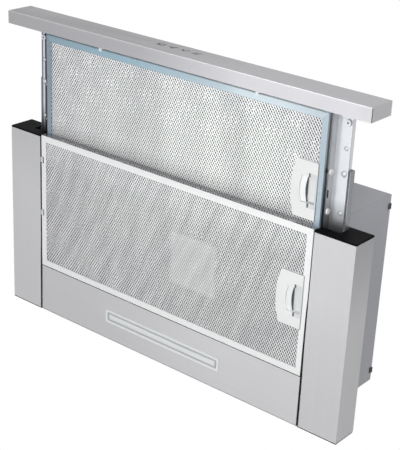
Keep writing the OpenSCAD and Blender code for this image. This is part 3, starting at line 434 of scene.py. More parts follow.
def moulded(name, colour, roughness, rub=0.12, strength=0.2, specular=0.5, coat=0.0):
    """Moulded plastic: a fine grain, and a faint rub that changes its shine and colour."""
    material, tree, shader = surface(name, colour, roughness, specular=specular)
    shader.inputs["Coat Weight"].default_value = coat
    marks = group_node(tree, grain)
    worn = between(tree, marks.outputs["Rub"], 0, 1)
    tree.links.new(blend_colours(tree, worn, shaded(colour, 1 - rub), shaded(colour, 1 + rub)),
                   shader.inputs["Base Color"])
    tree.links.new(between(tree, marks.outputs["Rub"], roughness - 0.05, roughness + 0.08),
                   shader.inputs["Roughness"])
    raise_surface(tree, shader, marks.outputs["Grain"], strength, 0.03 * MM)
    return material


black_plastic = moulded("black_plastic", tone(17, 17, 19), 0.5, rub=0.15, specular=0.02)
dress(sides("front_cap") + sides("rear_cap"), black_plastic, edge=0.9, segments=3)

# Casing
# A box of galvanised sheet above the trims: the top, front and back are spot welded, and the side panels screwed
# to them. Small black clips hook over its edges.

# Weld spots: 1 at the middle of each round spot in a row along X
weld_spots, given, out = start_group(
    "weld_spots", [("Place", "NodeSocketVector", (0, 0, 0)), ("Pitch", "NodeSocketFloat", 0.08),
                   ("Radius", "NodeSocketFloat", 0.003)], ["Mask"])
place = weld_spots.nodes.new("ShaderNodeTexCoord").outputs["Object"]
parts = weld_spots.nodes.new("ShaderNodeSeparateXYZ")
offset = vector_math(weld_spots, "SUBTRACT", place, given.outputs["Place"]).outputs[0]
weld_spots.links.new(offset, parts.inputs[0])
in_row = weld_spots.nodes.new("ShaderNodeMath")
in_row.operation = "WRAP"
half_pitch = maths(weld_spots, "MULTIPLY", given.outputs["Pitch"], 0.5)
weld_spots.links.new(parts.outputs["X"], in_row.inputs[0])
weld_spots.links.new(half_pitch, in_row.inputs[1])
weld_spots.links.new(maths(weld_spots, "MULTIPLY", half_pitch, -1), in_row.inputs[2])
spot = weld_spots.nodes.new("ShaderNodeCombineXYZ")
for source, label in ((in_row.outputs[0], "X"), (parts.outputs["Y"], "Y"), (parts.outputs["Z"], "Z")):
    weld_spots.links.new(source, spot.inputs[label])
away = vector_math(weld_spots, "LENGTH", spot.outputs[0], None).outputs["Value"]
nearness = maths(weld_spots, "SUBTRACT", 1, maths(weld_spots, "DIVIDE", away, given.outputs["Radius"]))
weld_spots.links.new(between(weld_spots, nearness, 0, 1, 0, 0.35), out.inputs["Mask"])


WELD_TONE = tone(124, 125, 130)
WELD_IN, WELD_PITCH, WELD_RADIUS = 7 * MM, 58 * MM, 2.8 * MM


def weld_row(material, place, pitch, radius):
    """A row of spot welds along X: shallow, slightly dark dimples."""
    tree = material.node_tree
    shader = tree.nodes["Principled BSDF"]
    row = group_node(tree, weld_spots, Place=place, Pitch=pitch, Radius=radius)
    lay_over(material, between(tree, row.outputs["Mask"], 0, 0.5, 0, 1), WELD_TONE)
    dimple = tree.nodes.new("ShaderNodeBump")
    dimple.invert = True
    dimple.inputs["Strength"].default_value = 0.6
    dimple.inputs["Distance"].default_value = 0.3 * MM
    tree.links.new(row.outputs["Mask"], dimple.inputs["Height"])
    tree.links.new(shader.inputs["Normal"].links[0].from_socket, dimple.inputs["Normal"])
    tree.links.new(dimple.outputs["Normal"], shader.inputs["Normal"])


SPANGLE = (9, 9, 60)
galvanised = sheet_metal("galvanised_sheet", tone(162, 164, 170), SPANGLE, 0.45, 0.3, 0.02, cloud_scale=12)
shell_low, shell_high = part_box("casing_shell")
for y in (shell_low.y + WELD_IN, shell_high.y - WELD_IN):
    weld_row(galvanised, (0, y, shell_high.z), WELD_PITCH, WELD_RADIUS)
dress(["casing_shell"], galvanised, edge=0.3)
side_galvanised = sheet_metal("galvanised_sides", tone(172, 174, 180), SPANGLE, 0.45, 0.3, 0.02, cloud_scale=12)
dress(sides("side_panel"), side_galvanised, edge=0.3)
dark_plastic = moulded("dark_plastic", tone(84, 85, 88), 0.45, rub=0.15, specular=0.2)
dress(["casing_clips"], dark_plastic, edge=0.25)
EVEN_GRAIN = (300, 300, 300)
plated = sheet_metal("plated_screws", tone(205, 205, 207), EVEN_GRAIN, 0.3, 0.8, 0.04)
dress(["casing_screws"], plated, edge=0.2)

# Outlet
# A flanged spigot of black plastic with two flaps, screwed on the casing's top, and the cable's gland beside it.
outlet_plastic = moulded("outlet_plastic", tone(40, 41, 43), 0.5, rub=0.15, specular=0.3)
dress(["outlet_collar", "cable_gland"], outlet_plastic, edge=0.4)
dress(sides("flap"), moulded("flap_plastic", tone(50, 51, 53), 0.45, specular=0.3), edge=0.3)

# Fan
# A double wheel of dark plastic on the motor's shaft, in two pale halves of a scroll under the casing's top.
dress(sides("fan_housing"), moulded("housing_plastic", tone(232, 233, 232), 0.45, rub=0.04), edge=0.4)
dress(["impeller"], moulded("wheel_plastic", tone(52, 53, 56), 0.5))
dress(["motor"], sheet_metal("motor_steel", tone(140, 141, 144), (40, 300, 300), 0.45, 0.8), edge=0.6)
dress(["motor_shaft"], plated)

# Electrics
# A terminal box with its lid, and the motor's capacitor, hung under the casing's top.
dress(["terminal_box", "terminal_box_lid"], moulded("box_plastic", tone(58, 59, 62), 0.5), edge=0.5)
dress(["motor_capacitor"], moulded("capacitor_case", tone(214, 214, 211), 0.4), edge=0.8)

# Lamp
# A white bezel snapped into the panel, a clear ribbed lens, and a pale reflector that holds the strip of diodes.
dress(["lamp_bezel"], moulded("bezel_plastic", tone(240, 242, 243), 0.3, rub=0.015), edge=0.5, segments=3)
lens_material, tree, shader = surface("ribbed_lens", tone(228, 233, 234), 0.16)
shader.inputs["Transmission Weight"].default_value = 0.1
shader.inputs["IOR"].default_value = 1.3
ribs = group_node(tree, brushing, Stretch=(7, 240, 10), Cloud_Scale=9)
tree.links.new(blend_colours(tree, between(tree, ribs.outputs["Lines"], 0, 1, 0.4, 0.6), tone(222, 227, 228),
                             tone(254, 255, 255)), shader.inputs["Base Color"])
raise_surface(tree, shader, ribs.outputs["Lines"], 0.5, 0.2 * MM)
lens_low, lens_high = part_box("lamp_lens")
lens_middle = (lens_low + lens_high) / 2
LENS_BORDER_SHADE = tone(188, 193, 196)
# Painted highlight: a pale streak along the lens's middle. Painted shade: darker bands along its four edges
paint_lines(lens_material, [
    ((0, lens_middle.y - 0.5 * MM, 0), (0, 1, 0), 0.6, 3.2, tone(252, 254, 254)),
    ((0, lens_low.y, 0), (0, 1, 0), 1.4, 2.6, LENS_BORDER_SHADE), ((0, lens_high.y, 0), (0, 1, 0), 1.4, 2.6, LENS_BORDER_SHADE),
    ((lens_low.x, 0, 0), (1, 0, 0), 1.5, 4.5, LENS_BORDER_SHADE), ((lens_high.x, 0, 0), (1, 0, 0), 1.5, 4.5, LENS_BORDER_SHADE)])
dress(["lamp_lens"], lens_material, edge=0.2)
dress(["lamp_reflector"], moulded("reflector_paint", tone(238, 239, 239), 0.3, rub=0.03), edge=0.2)
dress(["led_board"], moulded("diode_strip", tone(240, 240, 228), 0.45, rub=0.05), edge=0.2)

# Slides
# Three channel members on each side, of bright zinc-plated steel, with ball cages between them. The outer and
# middle members are drawn darker than the inner ones, as painted shade.
zinc = sheet_metal("bright_zinc_in_painted_shade", tone(138, 140, 145), ALONG_Y, 0.32, 0.6, 0.03)
dress(sides("slide_outer") + sides("slide_middle"), zinc, edge=0.25)
pale_zinc = sheet_metal("pale_zinc", tone(220, 221, 224), ALONG_Y, 0.35, 0.5, 0.03)
dress(sides("slide_inner"), pale_zinc, edge=0.25)
dress(sides("ball_cages"), plated)

# Tray
# Two rails under the inner slide members, a strip across the rear, nylon pads beside the filter, and the screws
# and rivets of the rails.
rail_low, rail_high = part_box("tray_rail_right")
fastener_low, fastener_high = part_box("rail_fasteners")
SCREW_HEAD = 4.0
screw_x, screw_y = fastener_high.x - SCREW_HEAD * MM, fastener_low.y + SCREW_HEAD * MM
FASTENERS = ((0, SCREW_HEAD), (32, 2.6), (64, 3.6), (114.5, 2.6))
# Painted shade: a deep one for sockets and narrow gaps, and lighter ones for the rails' wall edges, folds and
# fastener rims
DEEP_SHADE, FOLD_AND_RIM_SHADE, WALL_EDGE_SHADE = tone(44, 45, 49), tone(126, 129, 134), tone(118, 119, 123)


def rail_lines(side):
    """Painted shade along the lower edge of a rail's wall and in its fold, and a rim of painted shade round each
    screw and rivet.
    """
    lines = [((side * (rail_low.x + 0.45 * MM), 0, rail_low.z), (1, 0, 1), 0.6, 1.0, WALL_EDGE_SHADE),
             ((side * (rail_low.x + 1.2 * MM), 0, rail_high.z), (1, 0, 1), 0.4, 1.3, FOLD_AND_RIM_SHADE)]
    for back, radius in FASTENERS:
        lines.append(((side * screw_x, screw_y + back * MM, 0), (1, 1, 0), radius + 0.1, radius + 0.9, FOLD_AND_RIM_SHADE))
    return lines


rail_zinc = sheet_metal("rail_zinc", tone(197, 200, 203), ALONG_Y, 0.4, 0.4, 0.03, lines=rail_lines(1))
# Painted reflection and shade on the left-hand rail's web: a blue band for the film it mirrors and a dark band for
# the gap
FILM_MIRRORED, GAP_MIRRORED = 20.4 * MM, 13.0 * MM
left_lines = [((-rail_low.x - FILM_MIRRORED, 0, 0), (1, 0, 0), 1.2, 2.4, tone(112, 118, 136)),
              ((-rail_low.x - GAP_MIRRORED, 0, 0), (1, 0, 0), 1.3, 2.2, tone(24, 26, 44))]
left_zinc = sheet_metal("left_rail_zinc", tone(205, 208, 214), ALONG_Y, 0.4, 0.4, 0.03,
                        lines=rail_lines(-1) + left_lines)
# Painted shade: the rails are drawn nearly black towards their rear ends
for rail_metal in (rail_zinc, left_zinc):
    paint_shade_along(rail_metal, "Y", start=-0.0545, end=-0.092, share=0.16)
dress(["tray_rail_right", "tray_rear_strip"], rail_zinc, edge=0.4, segments=3)
dress(["tray_rail_left"], left_zinc, edge=0.4, segments=3)
# Painted shade in the screws' sockets
sockets = [((side * screw_x, screw_y, 0), (1, 1, 0), 0.9, 1.5, DEEP_SHADE) for side in (-1, 1)]
rivet_steel = sheet_metal("rivet_steel", tone(204, 206, 209), EVEN_GRAIN, 0.4, 0.3, 0.03, lines=sockets)
dress(["rail_fasteners"], rivet_steel, edge=0.2)
nylon = moulded("white_nylon", tone(240, 241, 241), 0.35, rub=0.02)
dress(["front_clips"], nylon, edge=0.3)
pad_nylon = moulded("pad_nylon", tone(240, 241, 241), 0.35, rub=0.02)
# Painted shade on the pads' shanks in the gap beside each rail
pad_shanks = [((side * (rail_low.x - 1.6 * MM), 0, 0), (1, 0, 0), 1.6, 1.9, DEEP_SHADE) for side in (-1, 1)]
paint_lines(pad_nylon, pad_shanks)
dress(["filter_pads"], pad_nylon, edge=0.3)

# Front bar
# A bar folded from brushed stainless sheet, closed by an end plate at each side and a plate behind, which carries
# the control board. A painted highlight runs along the fold of its lower front edge, and the end's seam is open.
bar_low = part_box("front_bar")[0]
FOLD_HIGHLIGHT = tone(232, 232, 234)
fold_line = ((0, bar_low.y, bar_low.z), (0, 1, 1), 0.4, 1.2, FOLD_HIGHLIGHT)
end_seams = [((x, 0, bar_low.z), (1, 0, 1), 0.3, 0.9, tone(40, 40, 42)) for x in (cad_low.x, cad_high.x)]
bar_steel = sheet_metal("bar_stainless", tone(190, 190, 194), ALONG_X, lines=[fold_line] + end_seams)
# Painted shade: the bar is darker towards its left-hand end
paint_shade_along(bar_steel, "X", start=-0.06, end=0.11, share=0.79)
dress(["front_bar"], bar_steel, edge=0.6, segments=3)
end_steel = sheet_metal("bar_end_stainless", tone(197, 197, 200), (240, 240, 2), lines=end_seams)
dress(sides("bar_end"), end_steel, edge=0.4)
dress(["bar_back_plate"], galvanised, edge=0.3)
dress(["control_board"], moulded("board_resist", tone(46, 110, 72), 0.35), edge=0.2)

# Buttons
# Four steel push buttons flush with the bar, each with a dark printed sign.
dress([f"button_{i}" for i in range(1, 5)], bar_steel, edge=0.3)
ink = moulded("printed_ink", tone(40, 42, 47), 0.6, rub=0.1)
INK_DEPTH = 0.06 * MM


def stroke(sign, middle, length, width, turn):
    """Adds a printed stroke to a sign, in millimetres from the button's middle, turned by degrees."""
    made = bmesh.ops.create_cube(sign, size=1)["verts"]
    bmesh.ops.scale(sign, verts=made, vec=(length * MM, INK_DEPTH, width * MM))
    bmesh.ops.rotate(sign, verts=made, cent=(0, 0, 0), matrix=Matrix.Rotation(math.radians(turn), 3, "Y"))
    bmesh.ops.translate(sign, verts=made, vec=(middle[0] * MM, 0, middle[1] * MM))


def ring(sign, middle, half_width, half_height, width):
    """Adds a printed oval ring to a sign, in millimetres from the button's middle."""
    made = bmesh.ops.create_circle(sign, cap_ends=True, segments=28, radius=1)["verts"]
    bmesh.ops.scale(sign, verts=made, vec=(half_width * MM, half_height * MM, 1))
    disc = made[0].link_faces[0]
    band = bmesh.ops.inset_individual(sign, faces=[disc], thickness=width * MM)["faces"]
    bmesh.ops.delete(sign, geom=[disc], context="FACES_ONLY")
    raised = bmesh.ops.extrude_face_region(sign, geom=band)["geom"]
    lifted = [v for v in raised if isinstance(v, bmesh.types.BMVert)]
    bmesh.ops.translate(sign, verts=lifted, vec=(0, 0, INK_DEPTH))
    made = list({v for f in band for v in f.verts}) + lifted
    bmesh.ops.rotate(sign, verts=made, cent=(0, 0, 0), matrix=Matrix.Rotation(math.radians(90), 3, "X"))
    bmesh.ops.translate(sign, verts=made, vec=(middle[0] * MM, INK_DEPTH / 2, middle[1] * MM))


for i in range(1, 5):
    sign = bmesh.new()
    if i == 1:
        ring(sign, (1.4, 0.2), 4.4, 4.2, 1.5)
        stroke(sign, (-4.4, -0.8), 2.6, 6.0, 0)
    elif i == 2:
        stroke(sign, (-2.0, -0.9), 8.0, 2.0, 35)
        stroke(sign, (2.2, 1.2), 6.6, 3.0, -40)
    elif i == 3:
        stroke(sign, (-2.6, 0), 7.0, 1.8, 55)
        stroke(sign, (2.0, 0.5), 9.2, 1.8, -38)
    else:
        for x in (-2.4, 2.4):
            stroke(sign, (x, 0), 8.6, 2.0, -66)
    low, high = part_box(f"button_{i}")
    bmesh.ops.translate(sign, verts=sign.verts, vec=((low.x + high.x) / 2, low.y, (low.z + high.z) / 2))
    bmesh.ops.recalc_face_normals(sign, faces=sign.faces)
    printed = new_object(f"button_sign_{i}", sign, ink)
    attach(printed, f"button_{i}")

# Filter frames
# Channel frames of rolled aluminium with mitred corners, one in the body and one in the tray. The body's one is
# lacquered white, and the tray's one still has its blue protective film.


def frame_finish(name, node, colour, rub, roughness, coat, cover_height, bare_or_shade_tone, bare_or_shade_shine, bare_or_shade_rough,
                 mitre_share, length_tones=(), side_tones=()):
    """A coat or film up to a height over the frame's face, and mitred corners. Above that height the lacquered
    frame shows shiny uncoated aluminium, and the filmed one is drawn near black as painted shade.

    length_tones are the film's colours at places along the long members, and side_tones are those of the left-hand
    and the right-hand short member: both carry painted light and shade.
    """
    material = moulded(name, colour, roughness, rub=rub, strength=0.05, coat=coat)
    tree = material.node_tree
    shader = tree.nodes["Principled BSDF"]
    low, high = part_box(node)
    place = tree.nodes.new("ShaderNodeTexCoord").outputs["Object"]
    parts = tree.nodes.new("ShaderNodeSeparateXYZ")
    tree.links.new(place, parts.inputs[0])
    # The mitres run in from the corners at 45 degrees: there the distances to both edges are the same
    distances = []
    for axis, near, far in (("X", low.x, high.x), ("Y", low.y, high.y)):
        from_middle = maths(tree, "SUBTRACT", parts.outputs[axis], (near + far) / 2)
        distances.append(maths(tree, "SUBTRACT", (far - near) / 2, maths(tree, "ABSOLUTE", from_middle)))
    apart = maths(tree, "ABSOLUTE", maths(tree, "SUBTRACT", *distances))
    covered = shader.inputs["Base Color"].links[0].from_socket
    if length_tones:
        film_light = tree.nodes.new("ShaderNodeValToRGB")
        tree.links.new(between(tree, parts.outputs["X"], 0, 1, low.x, high.x), film_light.inputs["Fac"])
        film_light.color_ramp.elements.remove(film_light.color_ramp.elements[1])
        for i, (x, film) in enumerate(length_tones):
            share = (x - low.x) / (high.x - low.x)
            stop = film_light.color_ramp.elements[0] if i == 0 else film_light.color_ramp.elements.new(share)
            stop.position = share
            stop.color = film
        on_side = maths(tree, "LESS_THAN", *distances)
        side_film = blend_colours(tree, maths(tree, "GREATER_THAN", parts.outputs["X"], 0), *side_tones)
        covered = blend_colours(tree, on_side, film_light.outputs["Color"], side_film)
    edge = low.z + cover_height
    bare_or_shade = between(tree, parts.outputs["Z"], 0, 1, edge, edge + 0.2 * MM)
    tree.links.new(covered, shader.inputs["Base Color"])
    lay_over(material, bare_or_shade, bare_or_shade_tone)
    tree.links.new(between(tree, bare_or_shade, 0, bare_or_shade_shine, 0, 1), shader.inputs["Metallic"])
    sheen = shader.inputs["Roughness"].links[0].from_socket
    glaze = tree.nodes.new("ShaderNodeMix")
    tree.links.new(bare_or_shade, glaze.inputs["Factor"])
    tree.links.new(sheen, glaze.inputs["A"])
    glaze.inputs["B"].default_value = bare_or_shade_rough
    tree.links.new(glaze.outputs["Result"], shader.inputs["Roughness"])
    lay_over(material, between(tree, apart, 1, 0, 0.15 * MM, 0.5 * MM), shaded(colour, mitre_share))
    return material


frame_white = frame_finish("frame_lacquer", "fixed_filter_frame", tone(250, 251, 252), rub=0.01, roughness=0.4,
                           coat=0.0, cover_height=0.9 * MM, bare_or_shade_tone=tone(190, 191, 194), bare_or_shade_shine=0.9,
                           bare_or_shade_rough=0.1, mitre_share=0.86)
low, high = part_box("fixed_filter_frame")
outer_side = ((high.x, high.y, low.z + 1.5 * MM), (1, 0.0085, 1), 0.9, 1.7, SHADOW)
rear_gap = ((high.x, high.y, low.z), (1, 0.012, 1), 1.1, 1.5, SHADOW)
paint_lines(frame_white, [outer_side, rear_gap])
dress(["fixed_filter_frame"], frame_white, edge=0.5)
# Painted light and shade on the film: palest right of the middle, darker towards both ends and on the short
# members
FILM_TONES = ((-0.22, tone(140, 169, 184)), (-0.1, tone(153, 185, 201)), (0.02, tone(174, 196, 208)),
              (0.11, tone(195, 211, 219)), (0.17, tone(190, 206, 214)), (0.225, tone(166, 183, 192)))
SIDE_FILM_TONES = (tone(131, 150, 164), tone(147, 167, 180))
# Painted shade: above its film the tray's frame is drawn near black
film_blue = frame_finish("blue_film", "tray_filter_frame", tone(156, 185, 200), rub=0.06, roughness=0.3, coat=0.5,
                         cover_height=3.2 * MM, bare_or_shade_tone=tone(34, 36, 42), bare_or_shade_shine=0.0, bare_or_shade_rough=0.6,
                         mitre_share=0.6, length_tones=FILM_TONES, side_tones=SIDE_FILM_TONES)
low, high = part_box("tray_filter_frame")
# Painted shade along the film frame's left-hand edge, next to the rail
left_edge = ((low.x, -60 * MM, low.z), (1, 0.012, 1), 1.0, 1.8, tone(24, 26, 44))
paint_lines(film_blue, [left_edge])
dress(["tray_filter_frame"], film_blue, edge=0.5)

# Grips and latches
# A white moulded grip is set in each frame's right-hand side. The pull of its sprung latch lies in a finger
# recess, and the latch's nose reaches out past the frame.


def patch_mask(tree, middle, half, soft):
    """A mask that is 1 in an upright box, given by its middle and half sizes, and fades over a soft rim."""
    place = tree.nodes.new("ShaderNodeTexCoord").outputs["Object"]
    offset = vector_math(tree, "SUBTRACT", place, middle).outputs[0]
    away = vector_math(tree, "ABSOLUTE", offset, None).outputs[0]
    parts = tree.nodes.new("ShaderNodeSeparateXYZ")
    tree.links.new(vector_math(tree, "SUBTRACT", away, half).outputs[0], parts.inputs[0])
    farthest = maths(tree, "MAXIMUM", parts.outputs["X"], maths(tree, "MAXIMUM", parts.outputs["Y"],
                                                                parts.outputs["Z"]))
    return between(tree, farthest, 1, 0, 0, soft)


GRIP_TONE = tone(243, 244, 244)
grip_white = moulded("grip_plastic", GRIP_TONE, 0.38, rub=0.012, strength=0.08)
# Painted shade: a dark slot beside the latch's pull, and a greyer finger recess
SLOT_SHADE, RECESS_SHADE = tone(92, 93, 96), tone(224, 227, 228)
SLOT_X, RECESS_HALF, GRIP_BOW = 216.0 * MM, 22 * MM, 6.4 * MM
RECESS_LEFT, RECESS_RIGHT = 202.5 * MM, 225.5 * MM
for kind in ("fixed", "tray"):
    low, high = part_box(kind + "_filter_grip")
    middle = (low + high) / 2
    for x, half, deep, colour in ((RECESS_RIGHT, RECESS_RIGHT - SLOT_X, 7 * MM, RECESS_SHADE),
                                  (SLOT_X, 1.2 * MM, 0.7 * MM, SLOT_SHADE)):
        patch = patch_mask(grip_white.node_tree, (x, middle.y, low.z), (half, RECESS_HALF, deep), 0.3 * MM)
        lay_over(grip_white, patch, colour)
# Painted shade along the grips' right-hand edge
paint_lines(grip_white, [((high.x, 0, 0), (1, 0, 0), 0.2, 1.0, tone(164, 167, 170))])
# Painted shade: the grips are slightly darker towards their front
paint_shade_along(grip_white, "Y", start=-0.058, end=-0.03, share=0.92)
FACE_PROUD, FACE_THICKNESS = 0.4 * MM, 1.6 * MM


def grip_face(name, low, high, left):
    """The grip's moulded face: a plate with a bowed inner side and an opening for the finger recess."""
    face = bmesh.new()
    bmesh.ops.create_grid(face, x_segments=3, y_segments=10, size=1)
    middles = [(f, f.calc_center_median()) for f in face.faces]
    opening = [f for f, centre in middles if abs(centre.x) < 0.3 and abs(centre.y) < 0.8]
    bmesh.ops.delete(face, geom=opening, context="FACES")
    half, middle_y = (high.y - low.y) / 2, (low.y + high.y) / 2
    for vert in face.verts:
        column, row = round((vert.co.x + 1) * 1.5), vert.co.y
        along = min(abs(row) / 0.8, 1) * RECESS_HALF if abs(row) < 0.9 else half
        vert.co.y = middle_y + math.copysign(along, row)
        bow = (along / half) ** 2.6
        vert.co.x = (left + GRIP_BOW * bow, RECESS_LEFT + 3 * MM * min((along / RECESS_HALF) ** 2, 1),
                     RECESS_RIGHT, high.x)[column]
        vert.co.z = low.z - FACE_PROUD
    raised = bmesh.ops.extrude_face_region(face, geom=face.faces[:])["geom"]
    lifted = [v for v in raised if isinstance(v, bmesh.types.BMVert)]
    bmesh.ops.translate(face, verts=lifted, vec=(0, 0, FACE_THICKNESS))
    bmesh.ops.recalc_face_normals(face, faces=face.faces)
    made = new_object(name, face, grip_white)
    rounded = made.modifiers.new("rounded", "BEVEL")
    rounded.width = 0.25 * MM
    rounded.segments = 2
    rounded.harden_normals = True
    return made


# Half the frames' length, and half the width of the strip beside them that the noses and the hooks reach into
FRAME_SIDE, STRIP_HALF = 235 * MM, 5 * MM
TOP_START, TOP_END, WALL_START, WALL_END = 0.3 * MM, 0.6 * MM, 3.7 * MM, 4.1 * MM
for kind, body, left in (("fixed", "fixed_filter", 187.8 * MM), ("tray", "tray", 189.8 * MM)):
    dress([kind + "_filter_grip"], grip_white, edge=0.5)
    low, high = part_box(kind + "_filter_grip")
    plate = grip_face(kind + "_grip_face", low, high, left)
    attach(plate, body)
    latch_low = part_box(kind + "_filter_latch")[0]
    latch_white = moulded(kind + "_latch_plastic", GRIP_TONE, 0.38, rub=0.012, strength=0.08)
    tree = latch_white.node_tree
    parts = tree.nodes.new("ShaderNodeSeparateXYZ")
    tree.links.new(tree.nodes.new("ShaderNodeTexCoord").outputs["Object"], parts.inputs[0])
    # Painted shade: above its face the latch takes the recess's grey, and the pull's wall and the slot's floor
    # beside it are dark
    top = between(tree, parts.outputs["Z"], 0, 1, latch_low.z + TOP_START, latch_low.z + TOP_END)
    lay_over(latch_white, top, RECESS_SHADE)
    wall = between(tree, parts.outputs["Z"], 1, 0, latch_low.z + WALL_START, latch_low.z + WALL_END)
    slot_floor = along_axis(tree, "X", start=211.4 * MM, end=211.8 * MM)
    slot_side = maths(tree, "MULTIPLY", top, maths(tree, "MAXIMUM", wall, slot_floor))
    lay_over(latch_white, slot_side, SLOT_SHADE)
    # Painted shade on the latch's nose where it reaches out past the frame
    paint_lines(latch_white, [((FRAME_SIDE + STRIP_HALF, 0, 0), (1, 0, 0), 5.1, 5.3, DEEP_SHADE)])
    dress([kind + "_filter_latch"], latch_white, edge=0.3)

# Filter hooks
# Small hooks of painted steel on the left-hand trim, beside the fixed filter's frame. Their roots lie in shade.
hook_steel = moulded("hook_finish", tone(236, 237, 238), 0.4, rub=0.012)
hook_root = ((-FRAME_SIDE - STRIP_HALF, 0, 0), (1, 0, 0), 4.5, 4.8, tone(178, 178, 180))
paint_lines(hook_steel, [hook_root])
dress(["filter_hooks"], hook_steel, edge=0.2)

# Filter nets
# Three layers of expanded aluminium in each frame: a fine net on its face, a coarse packed layer behind it, drawn
# nearly black as painted shade, and a net on its back. They stand in for the plain plate of the imported parts.


def net_metal(name, dark, bright, bands, turn=0):
    """Rolled aluminium strands whose tone drifts in soft bands, turned by degrees from the hood's depth."""
    material, tree, shader = surface(name, bright, 0.36, 0.2)
    turned = tree.nodes.new("ShaderNodeMapping")
    turned.vector_type = "TEXTURE"
    turned.inputs["Rotation"].default_value = (0, 0, math.radians(turn))
    tree.links.new(tree.nodes.new("ShaderNodeTexCoord").outputs["Object"], turned.inputs["Vector"])
    drift = noise(tree, vector_math(tree, "MULTIPLY", turned.outputs[0], bands).outputs[0], 1, 1)
    tree.links.new(blend_colours(tree, between(tree, drift, 0, 1, 0.35, 0.65), dark, bright),
                   shader.inputs["Base Color"])
    tree.links.new(between(tree, drift, 0.42, 0.3), shader.inputs["Roughness"])
    return material


def expanded_mesh(name, low, high, z, long_way, short_way, strand, rise, cover, material, skew=0.0, lean=0.0):
    """A net of diamond openings whose strands have a ridge on both sides.

    skew sets its rows askew, and lean makes the strands of one diagonal wider than the other's, as they twist.
    """
    net = bmesh.new()
    cells = math.ceil((high.x - low.x) / long_way + (high.y - low.y) / short_way) + 1
    bmesh.ops.create_grid(net, x_segments=cells, y_segments=cells, size=cells / 2)
    bmesh.ops.rotate(net, verts=net.verts, cent=(0, 0, 0), matrix=Matrix.Rotation(math.radians(45), 3, "Z"))
    bmesh.ops.scale(net, verts=net.verts, vec=(long_way / math.sqrt(2), short_way / math.sqrt(2), 1))
    bmesh.ops.transform(net, matrix=Matrix(((1, skew, 0, 0), (0, 1, 0, 0), (0, 0, 1, 0), (0, 0, 0, 1))),
                        verts=net.verts)
    middle = (low + high) / 2
    bmesh.ops.translate(net, verts=net.verts, vec=(middle.x, middle.y, rise))
    for point, normal in ((low, (-1, 0, 0)), (low, (0, -1, 0)), (high, (1, 0, 0)), (high, (0, 1, 0))):
        bmesh.ops.bisect_plane(net, geom=net.verts[:] + net.edges[:] + net.faces[:], dist=1e-7,
                               plane_co=(point.x, point.y, rise), plane_no=normal, clear_outer=True)
    x0, y0, x1, y1 = cover
    covered = [f for f in net.faces
               if x0 < f.calc_center_median().x < x1 and y0 < f.calc_center_median().y < y1]
    bmesh.ops.delete(net, geom=covered, context="FACES")
    rims = [e for e in net.edges if e.is_boundary]
    openings = net.faces[:]
    bmesh.ops.inset_individual(net, faces=openings, thickness=strand / 2, depth=-rise, use_even_offset=True)
    largest = max(f.calc_area() for f in openings)
    for hole in openings:
        centre = hole.calc_center_median()
        if lean and hole.calc_area() > 0.98 * largest:
            for vert in hole.verts:
                x, y = vert.co.x - centre.x, vert.co.y - centre.y
                vert.co.x = centre.x + x + lean * y * long_way / short_way
                vert.co.y = centre.y + y + lean * x * short_way / long_way
    bmesh.ops.delete(net, geom=openings, context="FACES_ONLY")
    skirt = bmesh.ops.extrude_edge_only(net, edges=rims)["geom"]
    for vert in skirt:
        if isinstance(vert, bmesh.types.BMVert):
            vert.co.z = 0
    bmesh.ops.mirror(net, geom=net.verts[:] + net.edges[:] + net.faces[:], axis="Z", merge_dist=1e-7)
    bmesh.ops.translate(net, verts=net.verts, vec=(0, 0, z))
    bmesh.ops.recalc_face_normals(net, faces=net.faces)
    return new_object(name, net, material)


LONG_BANDS = (22, 2.5, 1)
back_metal = net_metal("back_net_aluminium", tone(172, 172, 175), tone(196, 196, 198), LONG_BANDS)
tray_metal = net_metal("tray_net_aluminium", tone(238, 238, 240), tone(254, 254, 255), LONG_BANDS)
# Painted shadow: the tray's net darkens towards its rear end, next to the fixed filter
paint_shade_along(tray_metal, "Y", start=-0.0565, end=-0.078, share=0.66)
fixed_metal = net_metal("fixed_net_aluminium", tone(234, 234, 237), tone(254, 254, 255), (74, 11, 1), 23)
# Painted shade: the fixed filter's net is darker behind a pale band along its front edge
paint_shade_along(fixed_metal, "Y", start=-0.010, end=-0.026, share=0.9)
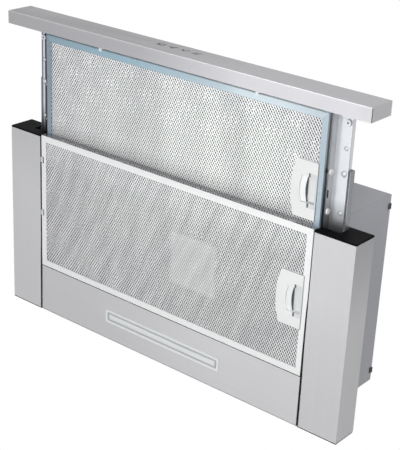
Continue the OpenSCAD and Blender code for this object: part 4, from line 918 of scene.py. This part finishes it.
# Painted shade: the packed layer is drawn nearly black
pack_metal = net_metal("packed_aluminium", tone(26, 26, 28), tone(46, 46, 48), (60, 60, 1))
# The fan's pale housing shows faintly through the fixed filter: it is drawn here as a paler part of its pack
pale_part = patch_mask(pack_metal.node_tree, (49 * MM, 55 * MM, 0), (35 * MM, 34 * MM, 20 * MM), 6 * MM)
lay_over(pack_metal, pale_part, tone(166, 168, 168))
RIM_UNDER, GRIP_MARGIN, LATCH_REACH, LEAN = 6 * MM, 2 * MM, 20 * MM, 0.215
for kind, body, long_way, short_way, strand, skew, face_metal in (
        ("fixed", "fixed_filter", 4.15, 6.05, 1.17, -0.037, fixed_metal),
        ("tray", "tray", 4.14, 5.94, 1.22, -0.018, tray_metal)):
    low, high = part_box(kind + "_filter_frame")
    grip_low, grip_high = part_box(kind + "_filter_grip")
    inner_low = low + Vector((RIM_UNDER, RIM_UNDER, 0))
    inner_high = high - Vector((RIM_UNDER, RIM_UNDER, 0))
    cover = (grip_low.x + GRIP_MARGIN, grip_low.y + GRIP_MARGIN, grip_high.x + LATCH_REACH,
             grip_high.y - GRIP_MARGIN)
    latch_room = (grip_low.x - GRIP_MARGIN, grip_low.y, grip_high.x + LATCH_REACH, grip_high.y)
    face = expanded_mesh(kind + "_mesh_face", inner_low, inner_high, z=low.z + 1.3 * MM, long_way=long_way * MM,
                         short_way=short_way * MM, strand=strand * MM, rise=0.12 * MM, cover=cover,
                         material=face_metal, skew=skew, lean=LEAN)
    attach(face, body)
    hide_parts(kind + "_filter_mesh")
    pack = expanded_mesh(kind + "_mesh_pack", inner_low, inner_high, z=low.z + 3.2 * MM, long_way=7.3 * MM,
                         short_way=5.1 * MM, strand=2.6 * MM, rise=0.7 * MM, cover=latch_room,
                         material=pack_metal)
    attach(pack, body)
    back = expanded_mesh(kind + "_mesh_back", inner_low, inner_high, z=low.z + 5.4 * MM, long_way=6.6 * MM,
                         short_way=4.6 * MM, strand=1.4 * MM, rise=0.3 * MM, cover=latch_room,
                         material=back_metal)
    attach(back, body)

# Measures
# The box of the finished model. The imported parts' box is taken straight after the import.
low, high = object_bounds()
